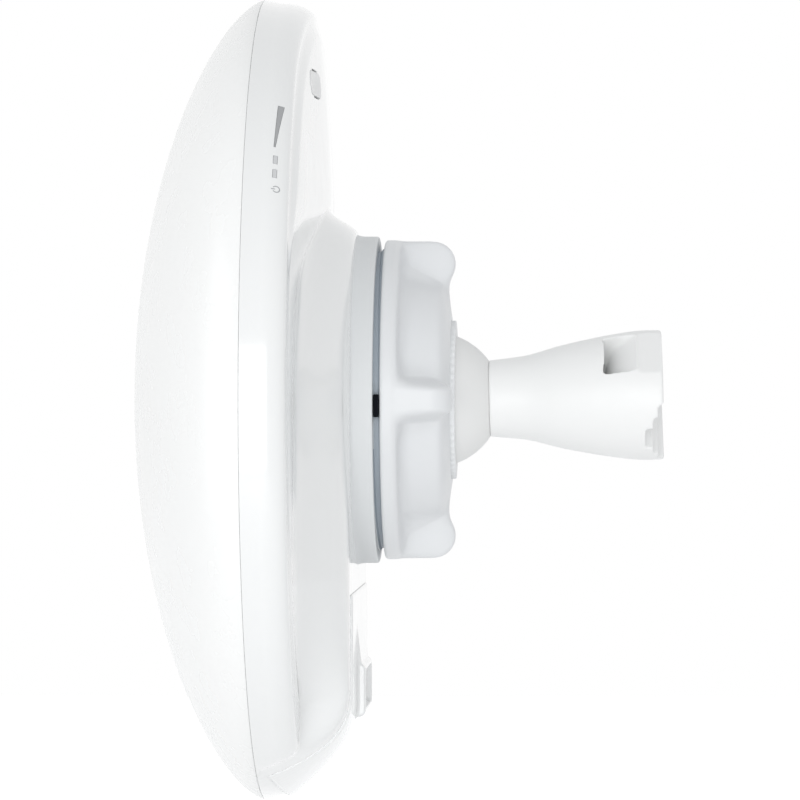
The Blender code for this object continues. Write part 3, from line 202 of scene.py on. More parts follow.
# Ball and arm
BALL_RADIUS = 0.0349
NECK_RADIUS = 0.0197
BALL_BORE = 0.0053
BALL_RECESS = 0.0115
BALL_RECESS_FLOOR = 0.0060
BALL_SEGMENTS = 128
BALL_FLAT_X = math.sqrt(BALL_RADIUS ** 2 - NECK_RADIUS ** 2)
ARM_FRONT = BALL_FLAT_X + GAP - ARM_LENGTH
JAW_RADIUS = 0.0334
ARM_STATIONS = (
    (ARM_FRONT, NECK_RADIUS), (-0.0694, 0.0220), (-0.0529, 0.0264),
    (-0.0269, 0.0315), (-0.0114, JAW_RADIUS), (0, JAW_RADIUS),
)
ARM_BORE_LENGTH = 0.0243
ARM_GRAIN = 0.00065
ARM_EASING = 3
JAW_EDGE = 0.0012
STRAP_SLOT_HALF_WIDTH = 0.0134
STRAP_SLOT_CORNER = 0.0020
STRAP_MOUTH_FRONT = 0.0284
STRAP_MOUTH_REAR = 0.0084
STRAP_PATH_FRONT = 0.0335
STRAP_PATH_REAR = 0.0285
STRAP_BOW_POWER = 3
STRAP_LAND_DROP = 0.0035
STRAP_LAND_LENGTH = 0.0128
GROOVE_HALF_WIDTHS = (0.0183, 0.0124, 0.0065)
GROOVE_DEPTHS = (0.0028, 0.0055, 0.0096)
GROOVE_CORNER = 0.0018

# Port cover and bay
COVER_HALF_WIDTH = 0.0780
COVER_TOP = 0.0980
COVER_END = DISH_RADIUS - 0.0020
COVER_RECESS = 0.0014
COVER_PROUD = 0.0012
COVER_GRAIN = 0.0007
COVER_EASING = 2
GRIP_HALF_WIDTH = 0.0360
GRIP_RAMP_TOP = 0.1140
GRIP_TOP = 0.1345
GRIP_BOTTOM = 0.1620
GRIP_RAMP_HEIGHT = 0.0022
GRIP_HEIGHT = 0.0044
GRIP_WALL = 0.0040
GRIP_EDGE = 0.0006
BAY_TOP = 0.1063
BAY_BOTTOM = 0.1720
BAY_HALF_WIDTH = 0.0435
BAY_LEDGE = 0.0020
PORT_OPENING_DEPTH = 0.0033
GROMMET_HALF_WIDTH = 0.0105

# Button and indicators
BUTTON_RADIUS = 0.0063
BUTTON_HALF_LENGTH = 0.0205
BUTTON_PROUD = 0.0004
BUTTON_GAP = 0.0010
BUTTON_GAP_SHARE = 0.75
BUTTON_CLEARANCE = 0.0001
BUTTON_DISH = 0.0014
BUTTON_DISH_RADIUS = 0.0028
BUTTON_LIP = 0.0006
BUTTON_SIDE = 0.0020
BUTTON_ROUNDS = (0.0012, 0.0004, 0.0004)
BUTTON_OVAL_END = 0.90
BUTTON_BAR_START = 0.98
BUTTON_FLANGE_WIDTH = 0.0019
BUTTON_FLANGE_LOW = 0.0010
BUTTON_FLANGE_TOP = 0.0022
BUTTON_STEM_RADIUS = 0.0030
BUTTON_SEGMENTS = 64
STOP_EDGE = 0.0005
LENS_FROM_SEAM = 0.0141
LENS_DEPTH = 0.0022
LENS_GAP = 0.00015
LENS_SUNK = 0.00005
LENS_CUT_TOP = 0.0020
# Angle, length round the rim, widths at the low and top ends, and lean of the front side
LENSES = {
    "signal_lens": (math.radians(40.6), 0.0279, 0.0006, 0.0029, 0.0009),
    "status_lens_1": (math.radians(34.5), 0.0048, 0.0019, 0.0019, 0.0),
    "status_lens_2": (math.radians(32.2), 0.0048, 0.0019, 0.0019, 0.0),
}
POWER_ANGLE = math.radians(29.7)
POWER_RADIUS = 0.0019
POWER_LINE = 0.0005
POWER_OPENING = math.radians(70)
POWER_PROUD = 0.00004
POWER_STEPS = 40

# Stage: place, aim, width, height and power of each lamp
LAMPS = {
    "key_front": ((-0.2, -2.5, -0.10), (-0.14, 0, 0), 1.8, 1.5, 21),
    "side_left": ((-2.5, -0.4, 0.2), (-0.2, 0, 0), 1.8, 1.8, 9.5),
}
WHITE = (1, 1, 1, 1)
SKY_COLOUR = (0.98, 0.99, 1.0, 1.0)
SKY_STRENGTH = 0.66
FLOOR_HEIGHT = -0.95
FLOOR_HALF_WIDTH = 12
FLOOR_COLOUR = (0.90, 0.90, 0.90, 1)
FLOOR_ROUGHNESS = 0.9
FLOOR_GLOW = 0.46
CAMERA_TARGET = Vector((-0.1358, 0, -0.0027))
CAMERA_DISTANCE = 2.332
CAMERA_TURN = math.radians(2.3)
CAMERA_LENS = 202.5
CAMERA_SENSOR = 36
CAMERA_CLIP_END = 100


def smooth_step(low, high, value):
    """0 below low, 1 above high, and an S-shaped rise between."""
    share = min(1.0, max(0.0, (value - low) / (high - low)))
    return share * share * (3 - 2 * share)


def mix(a, b, share):
    return a + (b - a) * share


def spread(low, high, count):
    """Evenly spaced values from low to high, both included."""
    return [low + (high - low) * i / (count - 1) for i in range(count)]


def arc(centre, radius, start, end, count):
    """Points on an arc in the (x, radius) plane, by angle in degrees from the X axis."""
    turns = [math.radians(a) for a in spread(start, end, count)]
    return [(centre[0] + radius * math.cos(t), centre[1] + radius * math.sin(t)) for t in turns]


def rounded(points, radii, count=6):
    """An open chain of (x, radius) points with its inner corners rounded."""
    chain = [points[0]]
    for before, at, after, radius in zip(points, points[1:], points[2:], radii):
        if not radius:
            chain.append(at)
            continue
        at = Vector(at)
        back = (Vector(before) - at).normalized()
        ahead = (Vector(after) - at).normalized()
        reach = radius / math.tan(back.angle(ahead) / 2)
        for share in spread(0, 1, count):
            a = at + back * reach * (1 - share)
            b = at + ahead * reach * share
            point = a.lerp(b, share)
            chain.append((point.x, point.y))
    return chain + [points[-1]]


def resampled(points, count):
    """The same chain with count points at even distances."""
    lengths = [0]
    for a, b in zip(points, points[1:]):
        lengths.append(lengths[-1] + math.dist(a, b))
    chain = []
    at = 0
    for goal in spread(0, lengths[-1], count):
        while at < len(points) - 2 and lengths[at + 1] < goal:
            at += 1
        share = (goal - lengths[at]) / max(TINY, lengths[at + 1] - lengths[at])
        chain.append(tuple(mix(a, b, share) for a, b in zip(points[at], points[at + 1])))
    return chain


# Finishes: values between which noise mostly lies, and the colour sockets of the mix node
NOISE_LOW = 0.3
NOISE_HIGH = 0.7
MIX_A = 6
MIX_B = 7
MIX_RESULT = 2


class Finish:
    """A material under construction: short calls that add nodes and link them."""

    def __init__(self, name):
        self.material = bpy.data.materials.new(name)
        self.material.use_nodes = True
        self.tree = self.material.node_tree
        self.shader = self.tree.nodes["Principled BSDF"]
        self.place = self.tree.nodes.new("ShaderNodeTexCoord").outputs["Object"]

    def node(self, kind, links, **values):
        made = self.tree.nodes.new(kind)
        for key, value in values.items():
            if key in made.inputs:
                made.inputs[key].default_value = value
            else:
                setattr(made, key, value)
        for key, source in links.items():
            self.tree.links.new(source, made.inputs[key])
        return made

    def stretched(self, scale):
        return self.node("ShaderNodeMapping", {"Vector": self.place}, Scale=scale).outputs["Vector"]

    def noise(self, scale, detail, where=None):
        links = {"Vector": where or self.place}
        return self.node("ShaderNodeTexNoise", links, Scale=scale, Detail=detail).outputs["Fac"]

    def cells(self, scale):
        links = {"Vector": self.place}
        return self.node("ShaderNodeTexVoronoi", links, Scale=scale).outputs["Distance"]

    def ramp(self, source, stops):
        made = self.node("ShaderNodeValToRGB", {"Fac": source})
        spots = made.color_ramp.elements
        while len(spots) < len(stops):
            spots.new(0.5)
        for spot, (position, colour) in zip(spots, stops):
            spot.position = position
            spot.color = (*colour, 1.0)
        return made.outputs["Color"]

    def range(self, source, low, high, start=NOISE_LOW, end=NOISE_HIGH):
        limits = {"From Min": start, "From Max": end, "To Min": low, "To Max": high}
        return self.node("ShaderNodeMapRange", {"Value": source}, **limits).outputs["Result"]

    def blend(self, share, a, b):
        made = self.tree.nodes.new("ShaderNodeMix")
        made.data_type = "RGBA"
        for key, source in (("Factor", share), (MIX_A, a), (MIX_B, b)):
            socket = made.inputs[key]
            if isinstance(source, (int, float)):
                socket.default_value = source
            elif isinstance(source, tuple):
                socket.default_value = (*source, 1.0)
            else:
                self.tree.links.new(source, socket)
        return made.outputs[MIX_RESULT]

    def bump(self, height, strength, distance, under=None):
        links = {"Height": height}
        if under:
            links["Normal"] = under
        made = self.node("ShaderNodeBump", links, Strength=strength, Distance=distance)
        return made.outputs["Normal"]

    def set(self, **values):
        for key, value in values.items():
            socket = self.shader.inputs[key.replace("_", " ")]
            if isinstance(value, bpy.types.NodeSocket):
                self.tree.links.new(value, socket)
            else:
                socket.default_value = value
        return self.material


def shade(colour, factor):
    return tuple(min(1.0, c * factor) for c in colour)


def shades(colour, low, high):
    """Ramp stops from a darker to a lighter shade of one colour, over the span of noise."""
    return [(NOISE_LOW, shade(colour, low)), (NOISE_HIGH, shade(colour, high))]


def moulded(name, colour, low_rough, high_rough, grain=0.02, grain_size=1100):
    """Moulded plastic: a fine spark grain, slow colour drift and gloss that varies a little."""
    finish = Finish(name)
    drift = finish.ramp(finish.noise(14, 4), shades(colour, 0.992, 1.006))
    mottle = finish.ramp(finish.noise(160, 3), shades(colour, 0.994, 1.004))
    base = finish.blend(0.35, drift, mottle)
    rough = finish.range(finish.noise(55, 3), low_rough, high_rough)
    spark = finish.bump(finish.noise(grain_size, 2), grain, 0.0001)
    flow = finish.bump(finish.noise(9, 1), 0.02, 0.001, spark)
    return finish.set(Base_Color=base, Roughness=rough, Normal=flow)


def brushed(name, colour, low_rough, high_rough, scale):
    """Metal with fine drawn lines along one way."""
    finish = Finish(name)
    lines = finish.noise(900, 2, where=finish.stretched(scale))
    base = finish.ramp(lines, [(0.25, shade(colour, 0.86)), (0.75, shade(colour, 1.06))])
    cloud = finish.ramp(finish.noise(30, 3), shades(colour, 0.9, 1.0))
    base = finish.blend(0.3, base, cloud)
    rough = finish.range(lines, low_rough, high_rough)
    normal = finish.bump(lines, 0.08, 0.0002)
    return finish.set(Base_Color=base, Roughness=rough, Metallic=1.0, Normal=normal)


def rubbery(name, colour, rough):
    """Rubber with a dusty bloom and a fine skin."""
    finish = Finish(name)
    bloom = finish.noise(70, 4)
    base = finish.ramp(bloom, [(0.35, colour), (0.75, tuple(c * 1.6 + 0.01 for c in colour))])
    dull = finish.range(bloom, rough - 0.08, rough + 0.08)
    normal = finish.bump(finish.noise(1500, 2), 0.15, 0.0002)
    return finish.set(Base_Color=base, Roughness=dull, Normal=normal)


def traced(name, colour):
    """Circuit board: solder mask with copper tracks showing under it and tinned pads."""
    finish = Finish(name)
    flat = finish.stretched((0, 1, 1))
    grid = finish.node("ShaderNodeTexBrick", {"Vector": flat}, Scale=90.0)
    for key, factor in (("Color1", 1.0), ("Color2", 0.8), ("Mortar", 1.7)):
        grid.inputs[key].default_value = (*shade(colour, factor), 1.0)
    grid.inputs["Mortar Size"].default_value = 0.03
    pads = finish.cells(240.0)
    dots = finish.range(pads, 1.0, 0.0, 0.10, 0.14)
    base = finish.blend(dots, grid.outputs["Color"], (0.72, 0.66, 0.48))
    rough = finish.range(finish.noise(90, 3), 0.34, 0.5)
    normal = finish.bump(pads, 0.1, 0.0002)
    return finish.set(Base_Color=base, Roughness=rough, Normal=normal)


def speckled(name, colour):
    """Gap-filler pad: grey with filler specks."""
    finish = Finish(name)
    specks = finish.cells(900.0)
    base = finish.ramp(specks, [(0.15, shade(colour, 1.25)), (0.5, colour)])
    normal = finish.bump(specks, 0.1, 0.0002)
    rough = finish.range(finish.noise(120, 2), 0.72, 0.86)
    return finish.set(Base_Color=base, Roughness=rough, Normal=normal)


housing_white = moulded("housing_white", (0.890, 0.900, 0.900), 0.16, 0.22, 0.008)
radome_white = moulded("radome_white", (0.930, 0.935, 0.930), 0.22, 0.30, 0.008)
boss_grey = moulded("boss_grey", (0.765, 0.785, 0.795), 0.42, 0.52)
# Thread collar: dark blue-grey that is painted shade of the deep gap before the lock ring
thread_painted_shade = moulded("thread_painted_shade", (0.440, 0.495, 0.550), 0.45, 0.55)
# Lock ring: white plastic greyed down as painted shade, which darkens the sides of the lobes
ring_white_painted_shade = moulded("ring_white_painted_shade", (0.805, 0.820, 0.835), 0.30, 0.42)
collet_white = moulded("collet_white", (0.870, 0.885, 0.895), 0.36, 0.46)
ball_grey = moulded("ball_grey", (0.850, 0.855, 0.850), 0.36, 0.48)
arm_white = moulded("arm_white", (0.930, 0.936, 0.932), 0.32, 0.44)
bay_grey = moulded("bay_grey", (0.70, 0.71, 0.72), 0.45, 0.55)
button_white = moulded("button_white", (0.92, 0.925, 0.925), 0.32, 0.42)
socket_black = moulded("socket_black", (0.014, 0.017, 0.024), 0.36, 0.52, 0.05, 900)
stop_black = moulded("stop_black", (0.006, 0.007, 0.010), 0.66, 0.76, 0.05, 900)
lens_grey = moulded("lens_grey", (0.40, 0.41, 0.42), 0.24, 0.34)
lens_pale = moulded("lens_pale", (0.64, 0.65, 0.66), 0.24, 0.34)
liner_white = moulded("liner_white", (0.86, 0.86, 0.82), 0.45, 0.60)
seal_black = rubbery("seal_black", (0.030, 0.031, 0.034), 0.70)
spun_aluminium = brushed("spun_aluminium", (0.74, 0.75, 0.76), 0.28, 0.42, (0.05, 1, 1))
milled_aluminium = brushed("milled_aluminium", (0.70, 0.71, 0.72), 0.32, 0.46, (1, 1, 0.05))
zinc_steel = brushed("zinc_steel", (0.62, 0.63, 0.65), 0.24, 0.38, (0.05, 1, 1))
board_green = traced("board_green", (0.018, 0.145, 0.065))
pad_grey = speckled("pad_grey", (0.40, 0.41, 0.43))

for material, socket, value in (
    (stop_black, "Specular IOR Level", 0.05),
    (housing_white, "Coat Weight", 1.0),
    (housing_white, "Coat Roughness", 0.08),
):
    material.node_tree.nodes["Principled BSDF"].inputs[socket].default_value = value


# Shaping


def shape_of(mesh):
    bm = bmesh.new()
    bm.from_mesh(mesh)
    return bm


def as_object(name, bm):
    bmesh.ops.recalc_face_normals(bm, faces=bm.faces)
    mesh = bpy.data.meshes.new(name)
    bm.to_mesh(mesh)
    bm.free()
    made = bpy.data.objects.new(name, mesh)
    bpy.context.scene.collection.objects.link(made)
    return made


def baked(made):
    """Shape of an object with its modifiers applied. The object is removed."""
    graph = bpy.context.evaluated_depsgraph_get()
    mesh = bpy.data.meshes.new_from_object(made.evaluated_get(graph))
    result = shape_of(mesh)
    bpy.data.objects.remove(made)
    bpy.data.meshes.remove(mesh)
    return result


def carved(bm, *steps):
    """The shape after a row of Boolean steps, each an operation and a second shape."""
    base = as_object("carved", bm)
    others = []
    for operation, shape in steps:
        other = as_object("carver", shape)
        others.append(other)
        step = base.modifiers.new(operation, "BOOLEAN")
        step.operation = operation
        step.object = other
        step.solver = "EXACT"
    result = baked(base)
    for other in others:
        bpy.data.objects.remove(other)
    bmesh.ops.remove_doubles(result, verts=result.verts, dist=2 * HAIR)
    return result


def relaxed(bm, verts, passes):
    """Draws each vertex towards its neighbours."""
    for _ in range(passes):
        bmesh.ops.smooth_vert(
            bm, verts=verts, factor=0.5, use_axis_x=True, use_axis_y=True, use_axis_z=True
        )


def eased(bm, grain, passes):
    """The shape with all its edges slightly rounded, as they leave a mould."""
    base = as_object("eased", bm)
    step = base.modifiers.new("eased", "REMESH")
    step.mode = "VOXEL"
    step.voxel_size = grain
    result = baked(base)
    relaxed(result, result.verts, passes)
    return result


def joined(*shapes):
    """One shape made of several, which stay apart."""
    whole = bmesh.new()
    for shape in shapes:
        bmesh.ops.recalc_face_normals(shape, faces=shape.faces)
        mesh = bpy.data.meshes.new("joined")
        shape.to_mesh(mesh)
        shape.free()
        whole.from_mesh(mesh)
        bpy.data.meshes.remove(mesh)
    return whole


def dressed(name, bm, finish, body, nodes, to=TO_DISH, sharp=38, second=None):
    """Puts a piece in place, paints it, and rides it on the body of the solids it stands for."""
    bmesh.ops.transform(bm, matrix=to, verts=bm.verts)
    made = as_object(name, bm)
    made.data.materials.append(finish)
    if second:
        made.data.materials.append(second)
    made.data.shade_smooth()
    made.data.set_sharp_from_angle(angle=math.radians(sharp))
    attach(made, body)
    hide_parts(*nodes)


def turned(profile, segments, closed=True):
    """Solid turned about the X axis from (x, radius) points. An open profile ends on the axis."""
    bm = bmesh.new()
    station = bm.verts.layers.int.new("station")
    verts = [bm.verts.new((x, 0, r)) for x, r in profile]
    for i, vert in enumerate(verts):
        vert[station] = i
    ends = verts[1:] + verts[:1] if closed else verts[1:]
    edges = [bm.edges.new(pair) for pair in zip(verts, ends)]
    bmesh.ops.spin(
        bm, geom=verts + edges, axis=(1, 0, 0), cent=(0, 0, 0), angle=math.tau, steps=segments,
        use_merge=True,
    )
    bmesh.ops.remove_doubles(bm, verts=bm.verts, dist=HAIR)
    return bm


def pushed_verts(bm):
    """Extrudes all faces without moving them yet, and gives the new vertices."""
    pushed = bmesh.ops.extrude_face_region(bm, geom=bm.faces[:])
    return [v for v in pushed["geom"] if isinstance(v, bmesh.types.BMVert)]


def prism(corners, travel):
    """Solid pushed out from a flat outline by the travel vector."""
    bm = bmesh.new()
    bm.faces.new([bm.verts.new(c) for c in corners])
    bmesh.ops.translate(bm, vec=travel, verts=pushed_verts(bm))
    bmesh.ops.recalc_face_normals(bm, faces=bm.faces)
    return bm


def block(low, high):
    """Box between two corners."""
    bm = bmesh.new()
    bmesh.ops.create_cube(bm, size=1)
    bmesh.ops.scale(bm, vec=Vector(high) - Vector(low), verts=bm.verts)
    bmesh.ops.translate(bm, vec=(Vector(low) + Vector(high)) / 2, verts=bm.verts)
    return bm


def softened(bm, width, segments=3, edges=None, clamp=True):
    """The shape with its edges rounded."""
    bmesh.ops.bevel(
        bm, geom=edges or bm.edges[:], offset=width, segments=segments, profile=0.5,
        affect="EDGES", clamp_overlap=clamp, material=-1,
    )
    return bm


def rod(front, rear, radius):
    """Round bar on the X axis."""
    bm = bmesh.new()
    place = Matrix.Translation(((front + rear) / 2, 0, 0)) @ Matrix.Rotation(math.pi / 2, 4, "Y")
    bmesh.ops.create_cone(
        bm, cap_ends=True, segments=48, radius1=radius, radius2=radius, depth=rear - front,
        matrix=place,
    )
    return bm


# Radome


def dome(radius, depth, count):
    """(x, radius) chain from the dome's apex to the seam."""
    points = []
    for share in spread(0, math.pi / 2, count):
        r = radius * math.sin(share)
        points.append((SEAM_X - depth * (1 - (r / radius) ** 2) ** RADOME_POWER, r))
    return points


def radome():
    depth = SEAM_X - RADOME_APEX
    face = SEAM_X - SEAM_LINE
    outer_end = RADOME_FACE - RADOME_EDGE_START
    outer = [p for p in dome(DISH_RADIUS, depth, 80) if p[0] < outer_end]
    inner = dome(DISH_RADIUS - RADOME_WALL, depth - RADOME_WALL, 40)
    lip_top = RADOME_FACE - RADOME_WALL
    lip_radius = DISH_RADIUS - RADOME_LIP_WIDTH
    edge = rounded(
        [outer[-1], (face, DISH_RADIUS), (face, lip_radius), (lip_top, lip_radius)],
        RADOME_EDGE_ROUNDS,
    )
    inside = [p for p in reversed(inner) if p[0] < lip_top - GAP]
    shape = turned(outer + edge[1:] + inside, RADOME_SEGMENTS, closed=False)
    dressed("radome", shape, radome_white, "dish", ["front_radome"])


# Rear shell


def hill_roll(y, radius):
    """Height of the hill, which rolls over to the rim at its lower end, with fuller shoulders."""
    roll = max(0.0, radius - ROLL_START) / ROLL_LENGTH
    shoulder = ROLL_SHOULDER * min(1.0, (y / HILL_HALF_WIDTH) ** 2)
    return mix(PLATEAU_X, CREASE_X, roll ** (ROLL_POWER + shoulder))


def hill_share(y, z):
    """How much of the hill there is at a place: 1 on its top, 0 beyond the foot of its ramp."""
    radius = math.hypot(y, z)
    if z > 0:
        outside = radius - HILL_HALF_WIDTH
        ramp = mix(HILL_SIDE_RAMP, HILL_TOP_FILLET, smooth_step(0.05, 0.95, z / radius))
    else:
        outside = abs(y) - HILL_HALF_WIDTH
        foot = math.sqrt(max(0.0, (CREASE_RADIUS - HILL_FOOT_INSET) ** 2 - z ** 2))
        ramp = max(HILL_TOP_FILLET, min(HILL_SIDE_RAMP, foot - HILL_HALF_WIDTH))
    return 1 - smooth_step(0, ramp, outside)


def back_surface(y, z):
    """Height of the shell's rear face along the dish axis."""
    radius = math.hypot(y, z)
    share = hill_share(y, z)
    hill = hill_roll(y, radius)
    lift = TOP_LIFT * (1 - smooth_step(0, TOP_LIFT_HALF_WIDTH, abs(y))) if z > 0 else 0.0
    if radius > CREASE_RADIUS:
        out = min(radius - CREASE_RADIUS, RIM_ROUND)
        rim = ROUND_START_X + (RIM_ROUND_LENGTH + lift) * math.sqrt(1 - (out / RIM_ROUND) ** 2)
        return mix(rim, min(rim, hill), share)
    plate = TRAY_X + PLATE_RISE - PLATE_CROWN * (radius / PLATE_CROWN_RADIUS) ** 4
    plate += PLATE_BOW * (1 - smooth_step(0, PLATE_BOW_HALF_WIDTH, abs(y)))
    around = mix(TRAY_X, plate, smooth_step(PLATE_BLEND_LOW, PLATE_BLEND_HIGH, z))
    edge = smooth_step(CREASE_RADIUS - EDGE_WIDTH, CREASE_RADIUS, radius)
    around = mix(around, CREASE_X + lift, edge)
    return mix(around, hill, share)


def cover_sheet(low, high, grow):
    """Solid that follows the back surface under the port cover, from low to high above it."""
    bm = bmesh.new()
    bmesh.ops.create_grid(bm, x_segments=40, y_segments=72, size=1)
    end = COVER_END + (SHELL_WALL * 2 if grow else 0)
    half = COVER_HALF_WIDTH + grow
    for vert in bm.verts:
        y = vert.co.x * half
        z = mix(-COVER_TOP + grow, -math.sqrt(end ** 2 - y ** 2), (1 - vert.co.y) / 2)
        vert.co = (back_surface(y, z) + low, y, z)
    bmesh.ops.translate(bm, vec=(high - low, 0, 0), verts=pushed_verts(bm))
    bmesh.ops.recalc_face_normals(bm, faces=bm.faces)
    return bm


def port_opening():
    """Window into the port bay with the grommet's notch below it."""
    side = BAY_HALF_WIDTH - BAY_LEDGE
    top = -BAY_TOP - BAY_LEDGE
    bottom = -BAY_BOTTOM + BAY_LEDGE
    half = GROMMET_HALF_WIDTH + GAP
    outside = -DISH_RADIUS - SHELL_WALL
    outline = [
        (-side, top), (side, top), (side, bottom), (half, bottom),
        (half, outside), (-half, outside), (-half, bottom), (-side, bottom),
    ]
    front = CREASE_X - RIM_ROUND - PORT_OPENING_DEPTH
    return prism([(front, y, z) for y, z in outline], (-front, 0, 0))


def rim_surface(x):
    """Radius of the rim's outside: a slight taper from the seam, then the rounding."""
    if x > ROUND_START_X:
        share = (x - ROUND_START_X) / RIM_ROUND_LENGTH
        return CREASE_RADIUS + RIM_ROUND * math.sqrt(1 - share ** 2)
    return DISH_RADIUS - RIM_TAPER * (x - SEAM_X) / (ROUND_START_X - SEAM_X)


def on_rim(x, angle, out):
    """Place on the rim by x, angle from the near side towards the top, and height above it."""
    radius = rim_surface(x) + out
    return (x, -radius * math.cos(angle), radius * math.sin(angle))


def rim_bar(angle, length, low_width, top_width, lean, grow, top):
    """Bar let into the rim that follows its curve, wider at its upper end if asked."""
    bm = bmesh.new()
    bmesh.ops.create_grid(bm, x_segments=24, y_segments=4, size=0.5)
    front = SEAM_X + LENS_FROM_SEAM
    for vert in bm.verts:
        turn = angle + vert.co.x * (length + 2 * grow) / rim_surface(front)
        width = mix(low_width, top_width, vert.co.x + 0.5)
        edge = front + lean * (vert.co.x + 0.5)
        at = mix(edge - grow, edge + width + grow, vert.co.y + 0.5)
        vert.co = on_rim(at, turn, -LENS_DEPTH - grow)
    for vert in pushed_verts(bm):
        radius = vert.co.yz.length
        vert.co.yz *= (radius + LENS_DEPTH + grow + top) / radius
    bmesh.ops.recalc_face_normals(bm, faces=bm.faces)
    return bm


def power_mark():
    """Open ring with a bar through its opening, laid flat and then bent round the rim."""
    bm = bmesh.new()
    inner = POWER_RADIUS - POWER_LINE
    section = [
        (-POWER_RADIUS, -POWER_LINE), (-inner, -POWER_LINE), (-inner, 0), (-POWER_RADIUS, 0),
    ]
    face = bm.faces.new([bm.verts.new((x, 0, z)) for x, z in section])
    half = POWER_OPENING / 2
    bmesh.ops.rotate(bm, cent=(0, 0, 0), matrix=Matrix.Rotation(half, 3, "Z"), verts=bm.verts)
    bmesh.ops.spin(
        bm, geom=[face], axis=(0, 0, 1), cent=(0, 0, 0), angle=math.tau - POWER_OPENING,
        steps=POWER_STEPS,
    )
    bar_low = (-POWER_RADIUS - POWER_LINE, -POWER_LINE / 2, -POWER_LINE)
    bar = block(bar_low, (-POWER_LINE, POWER_LINE / 2, 0))
    bm = joined(bm, bar)
    middle = SEAM_X + LENS_FROM_SEAM + POWER_RADIUS
    for vert in bm.verts:
        x, along, out = vert.co
        turn = POWER_ANGLE + along / rim_surface(middle)
        vert.co = on_rim(middle + x, turn, out + POWER_PROUD)
    return bm


def lenses():
    for node, sizes in LENSES.items():
        finish = lens_grey if node == "signal_lens" else lens_pale
        shape = rim_bar(*sizes, 0.0, -LENS_SUNK)
        dressed(node + "_mark", shape, finish, "dish", [node])
    dressed("power_mark", power_mark(), lens_grey, "dish", ["power_lens"])


def button_middle():
    low, high = span("reset_button")
    return (low + high) / 2


def button_bar(grow, bottom, top):
    """Bar with the button's outline, a stretched round, between two heights."""
    middle = button_middle()
    end = BUTTON_HALF_LENGTH - BUTTON_RADIUS
    right = arc((end, 0), BUTTON_RADIUS + grow, -90, 90, 17)
    outline = right + [(-a, -b) for a, b in right]
    corners = [(bottom, middle.y + a, middle.z + b) for a, b in outline]
    return prism(corners, (top - bottom, 0, 0))


def button_gaps(bottom, top):
    """Wider gaps along the middle of the button's straight sides."""
    middle = button_middle()
    straight = BUTTON_HALF_LENGTH - BUTTON_RADIUS
    reach = Vector((0, BUTTON_GAP_SHARE * straight, BUTTON_RADIUS + BUTTON_GAP))
    start = Vector((bottom, middle.y, middle.z)) - reach
    end = Vector((top, middle.y, middle.z)) + reach
    return block(start, end)


def rear_shell():
    edge_start = CREASE_RADIUS - EDGE_WIDTH
    radii = spread(HILL_RING_START, edge_start, 60) + spread(edge_start, CREASE_RADIUS, 18)[1:]
    flange_radius = DISH_RADIUS - SHELL_FLANGE_WIDTH
    flange_top = SEAM_X + SHELL_FLANGE_THICKNESS
    inner_radius = DISH_RADIUS - RIM_TAPER - SHELL_WALL
    profile = [(0, r) for r in (0, *INNER_RINGS, *radii)]
    profile += [(0, CREASE_RADIUS + out) for _, out in arc((0, 0), RIM_ROUND, 0, 90, 13)[1:]]
    profile += [(SEAM_X + SEAM_ROUND, DISH_RADIUS), (SEAM_X, DISH_RADIUS - SEAM_ROUND)]
    profile += [(SEAM_X, flange_radius), (flange_top, flange_radius)]
    profile += [(flange_top, inner_radius), (CREASE_X - 2 * RIM_ROUND, inner_radius)]
    profile += [(-SHELL_WALL, r - SHELL_WALL) for r in reversed(radii[::3])]
    profile += [(-SHELL_WALL, r) for r in (*reversed(INNER_RINGS), 0)]
    shape = turned(profile, SHELL_SEGMENTS, closed=False)
    for vert in shape.verts:
        if vert.co.x > -2 * SHELL_WALL:
            vert.co.x += back_surface(vert.co.y, vert.co.z)
    bmesh.ops.triangulate(shape, faces=shape.faces)
    button_floor = TRAY_X - 3 * SHELL_WALL
    lens_holes = [rim_bar(*sizes, LENS_GAP, LENS_CUT_TOP) for sizes in LENSES.values()]
    shape = carved(
        shape,
        ("DIFFERENCE", cover_sheet(-COVER_RECESS, HILL_HEIGHT, GAP / 2)),
        ("DIFFERENCE", port_opening()),
        ("DIFFERENCE", button_bar(GAP / 3, button_floor, 0)),
        ("DIFFERENCE", button_gaps(button_floor, 0)),
        ("DIFFERENCE", joined(*lens_holes)),
    )
    dressed(
        "back_housing", shape, housing_white, "dish", ["rear_shell"],
        sharp=SHELL_SHARP,
    )


def port_cover():
    sheet = cover_sheet(GAP - COVER_RECESS, COVER_PROUD, 0)
    face = PLATEAU_X + COVER_PROUD
    root = PLATEAU_X - COVER_RECESS / 2
    top = face + GRIP_HEIGHT
    outline = [
        (root, -GRIP_RAMP_TOP), (face, -GRIP_RAMP_TOP), (face + GRIP_RAMP_HEIGHT, -GRIP_TOP),
        (top, -GRIP_TOP - GRIP_RAMP_HEIGHT), (top, -GRIP_BOTTOM + GRIP_RAMP_HEIGHT),
        (face + GRIP_HEIGHT / 2, -GRIP_BOTTOM), (root, -GRIP_BOTTOM),
    ]
    half = GRIP_HALF_WIDTH
    grip = softened(prism([(x, -half, z) for x, z in outline], (0, 2 * half, 0)), GRIP_EDGE)
    scoop_half = GRIP_HALF_WIDTH - GRIP_WALL
    scoop_top = -GRIP_TOP - GRIP_WALL
    scoop_bottom = -GRIP_BOTTOM + GRIP_WALL
    above = face + 2 * GRIP_HEIGHT
    scoop = [
        (face + GRIP_RAMP_HEIGHT / 2, scoop_bottom), (face + GRIP_RAMP_HEIGHT, scoop_top),
        (above, scoop_top), (above, scoop_bottom),
    ]
    hollow = prism([(x, -scoop_half, z) for x, z in scoop], (0, 2 * scoop_half, 0))
    shape = carved(sheet, ("UNION", grip), ("DIFFERENCE", hollow))
    shape = eased(shape, COVER_GRAIN, COVER_EASING)
    dressed("port_door", shape, housing_white, "port_cover", ["port_cover"])


# Mount base, lock ring, collet, ball


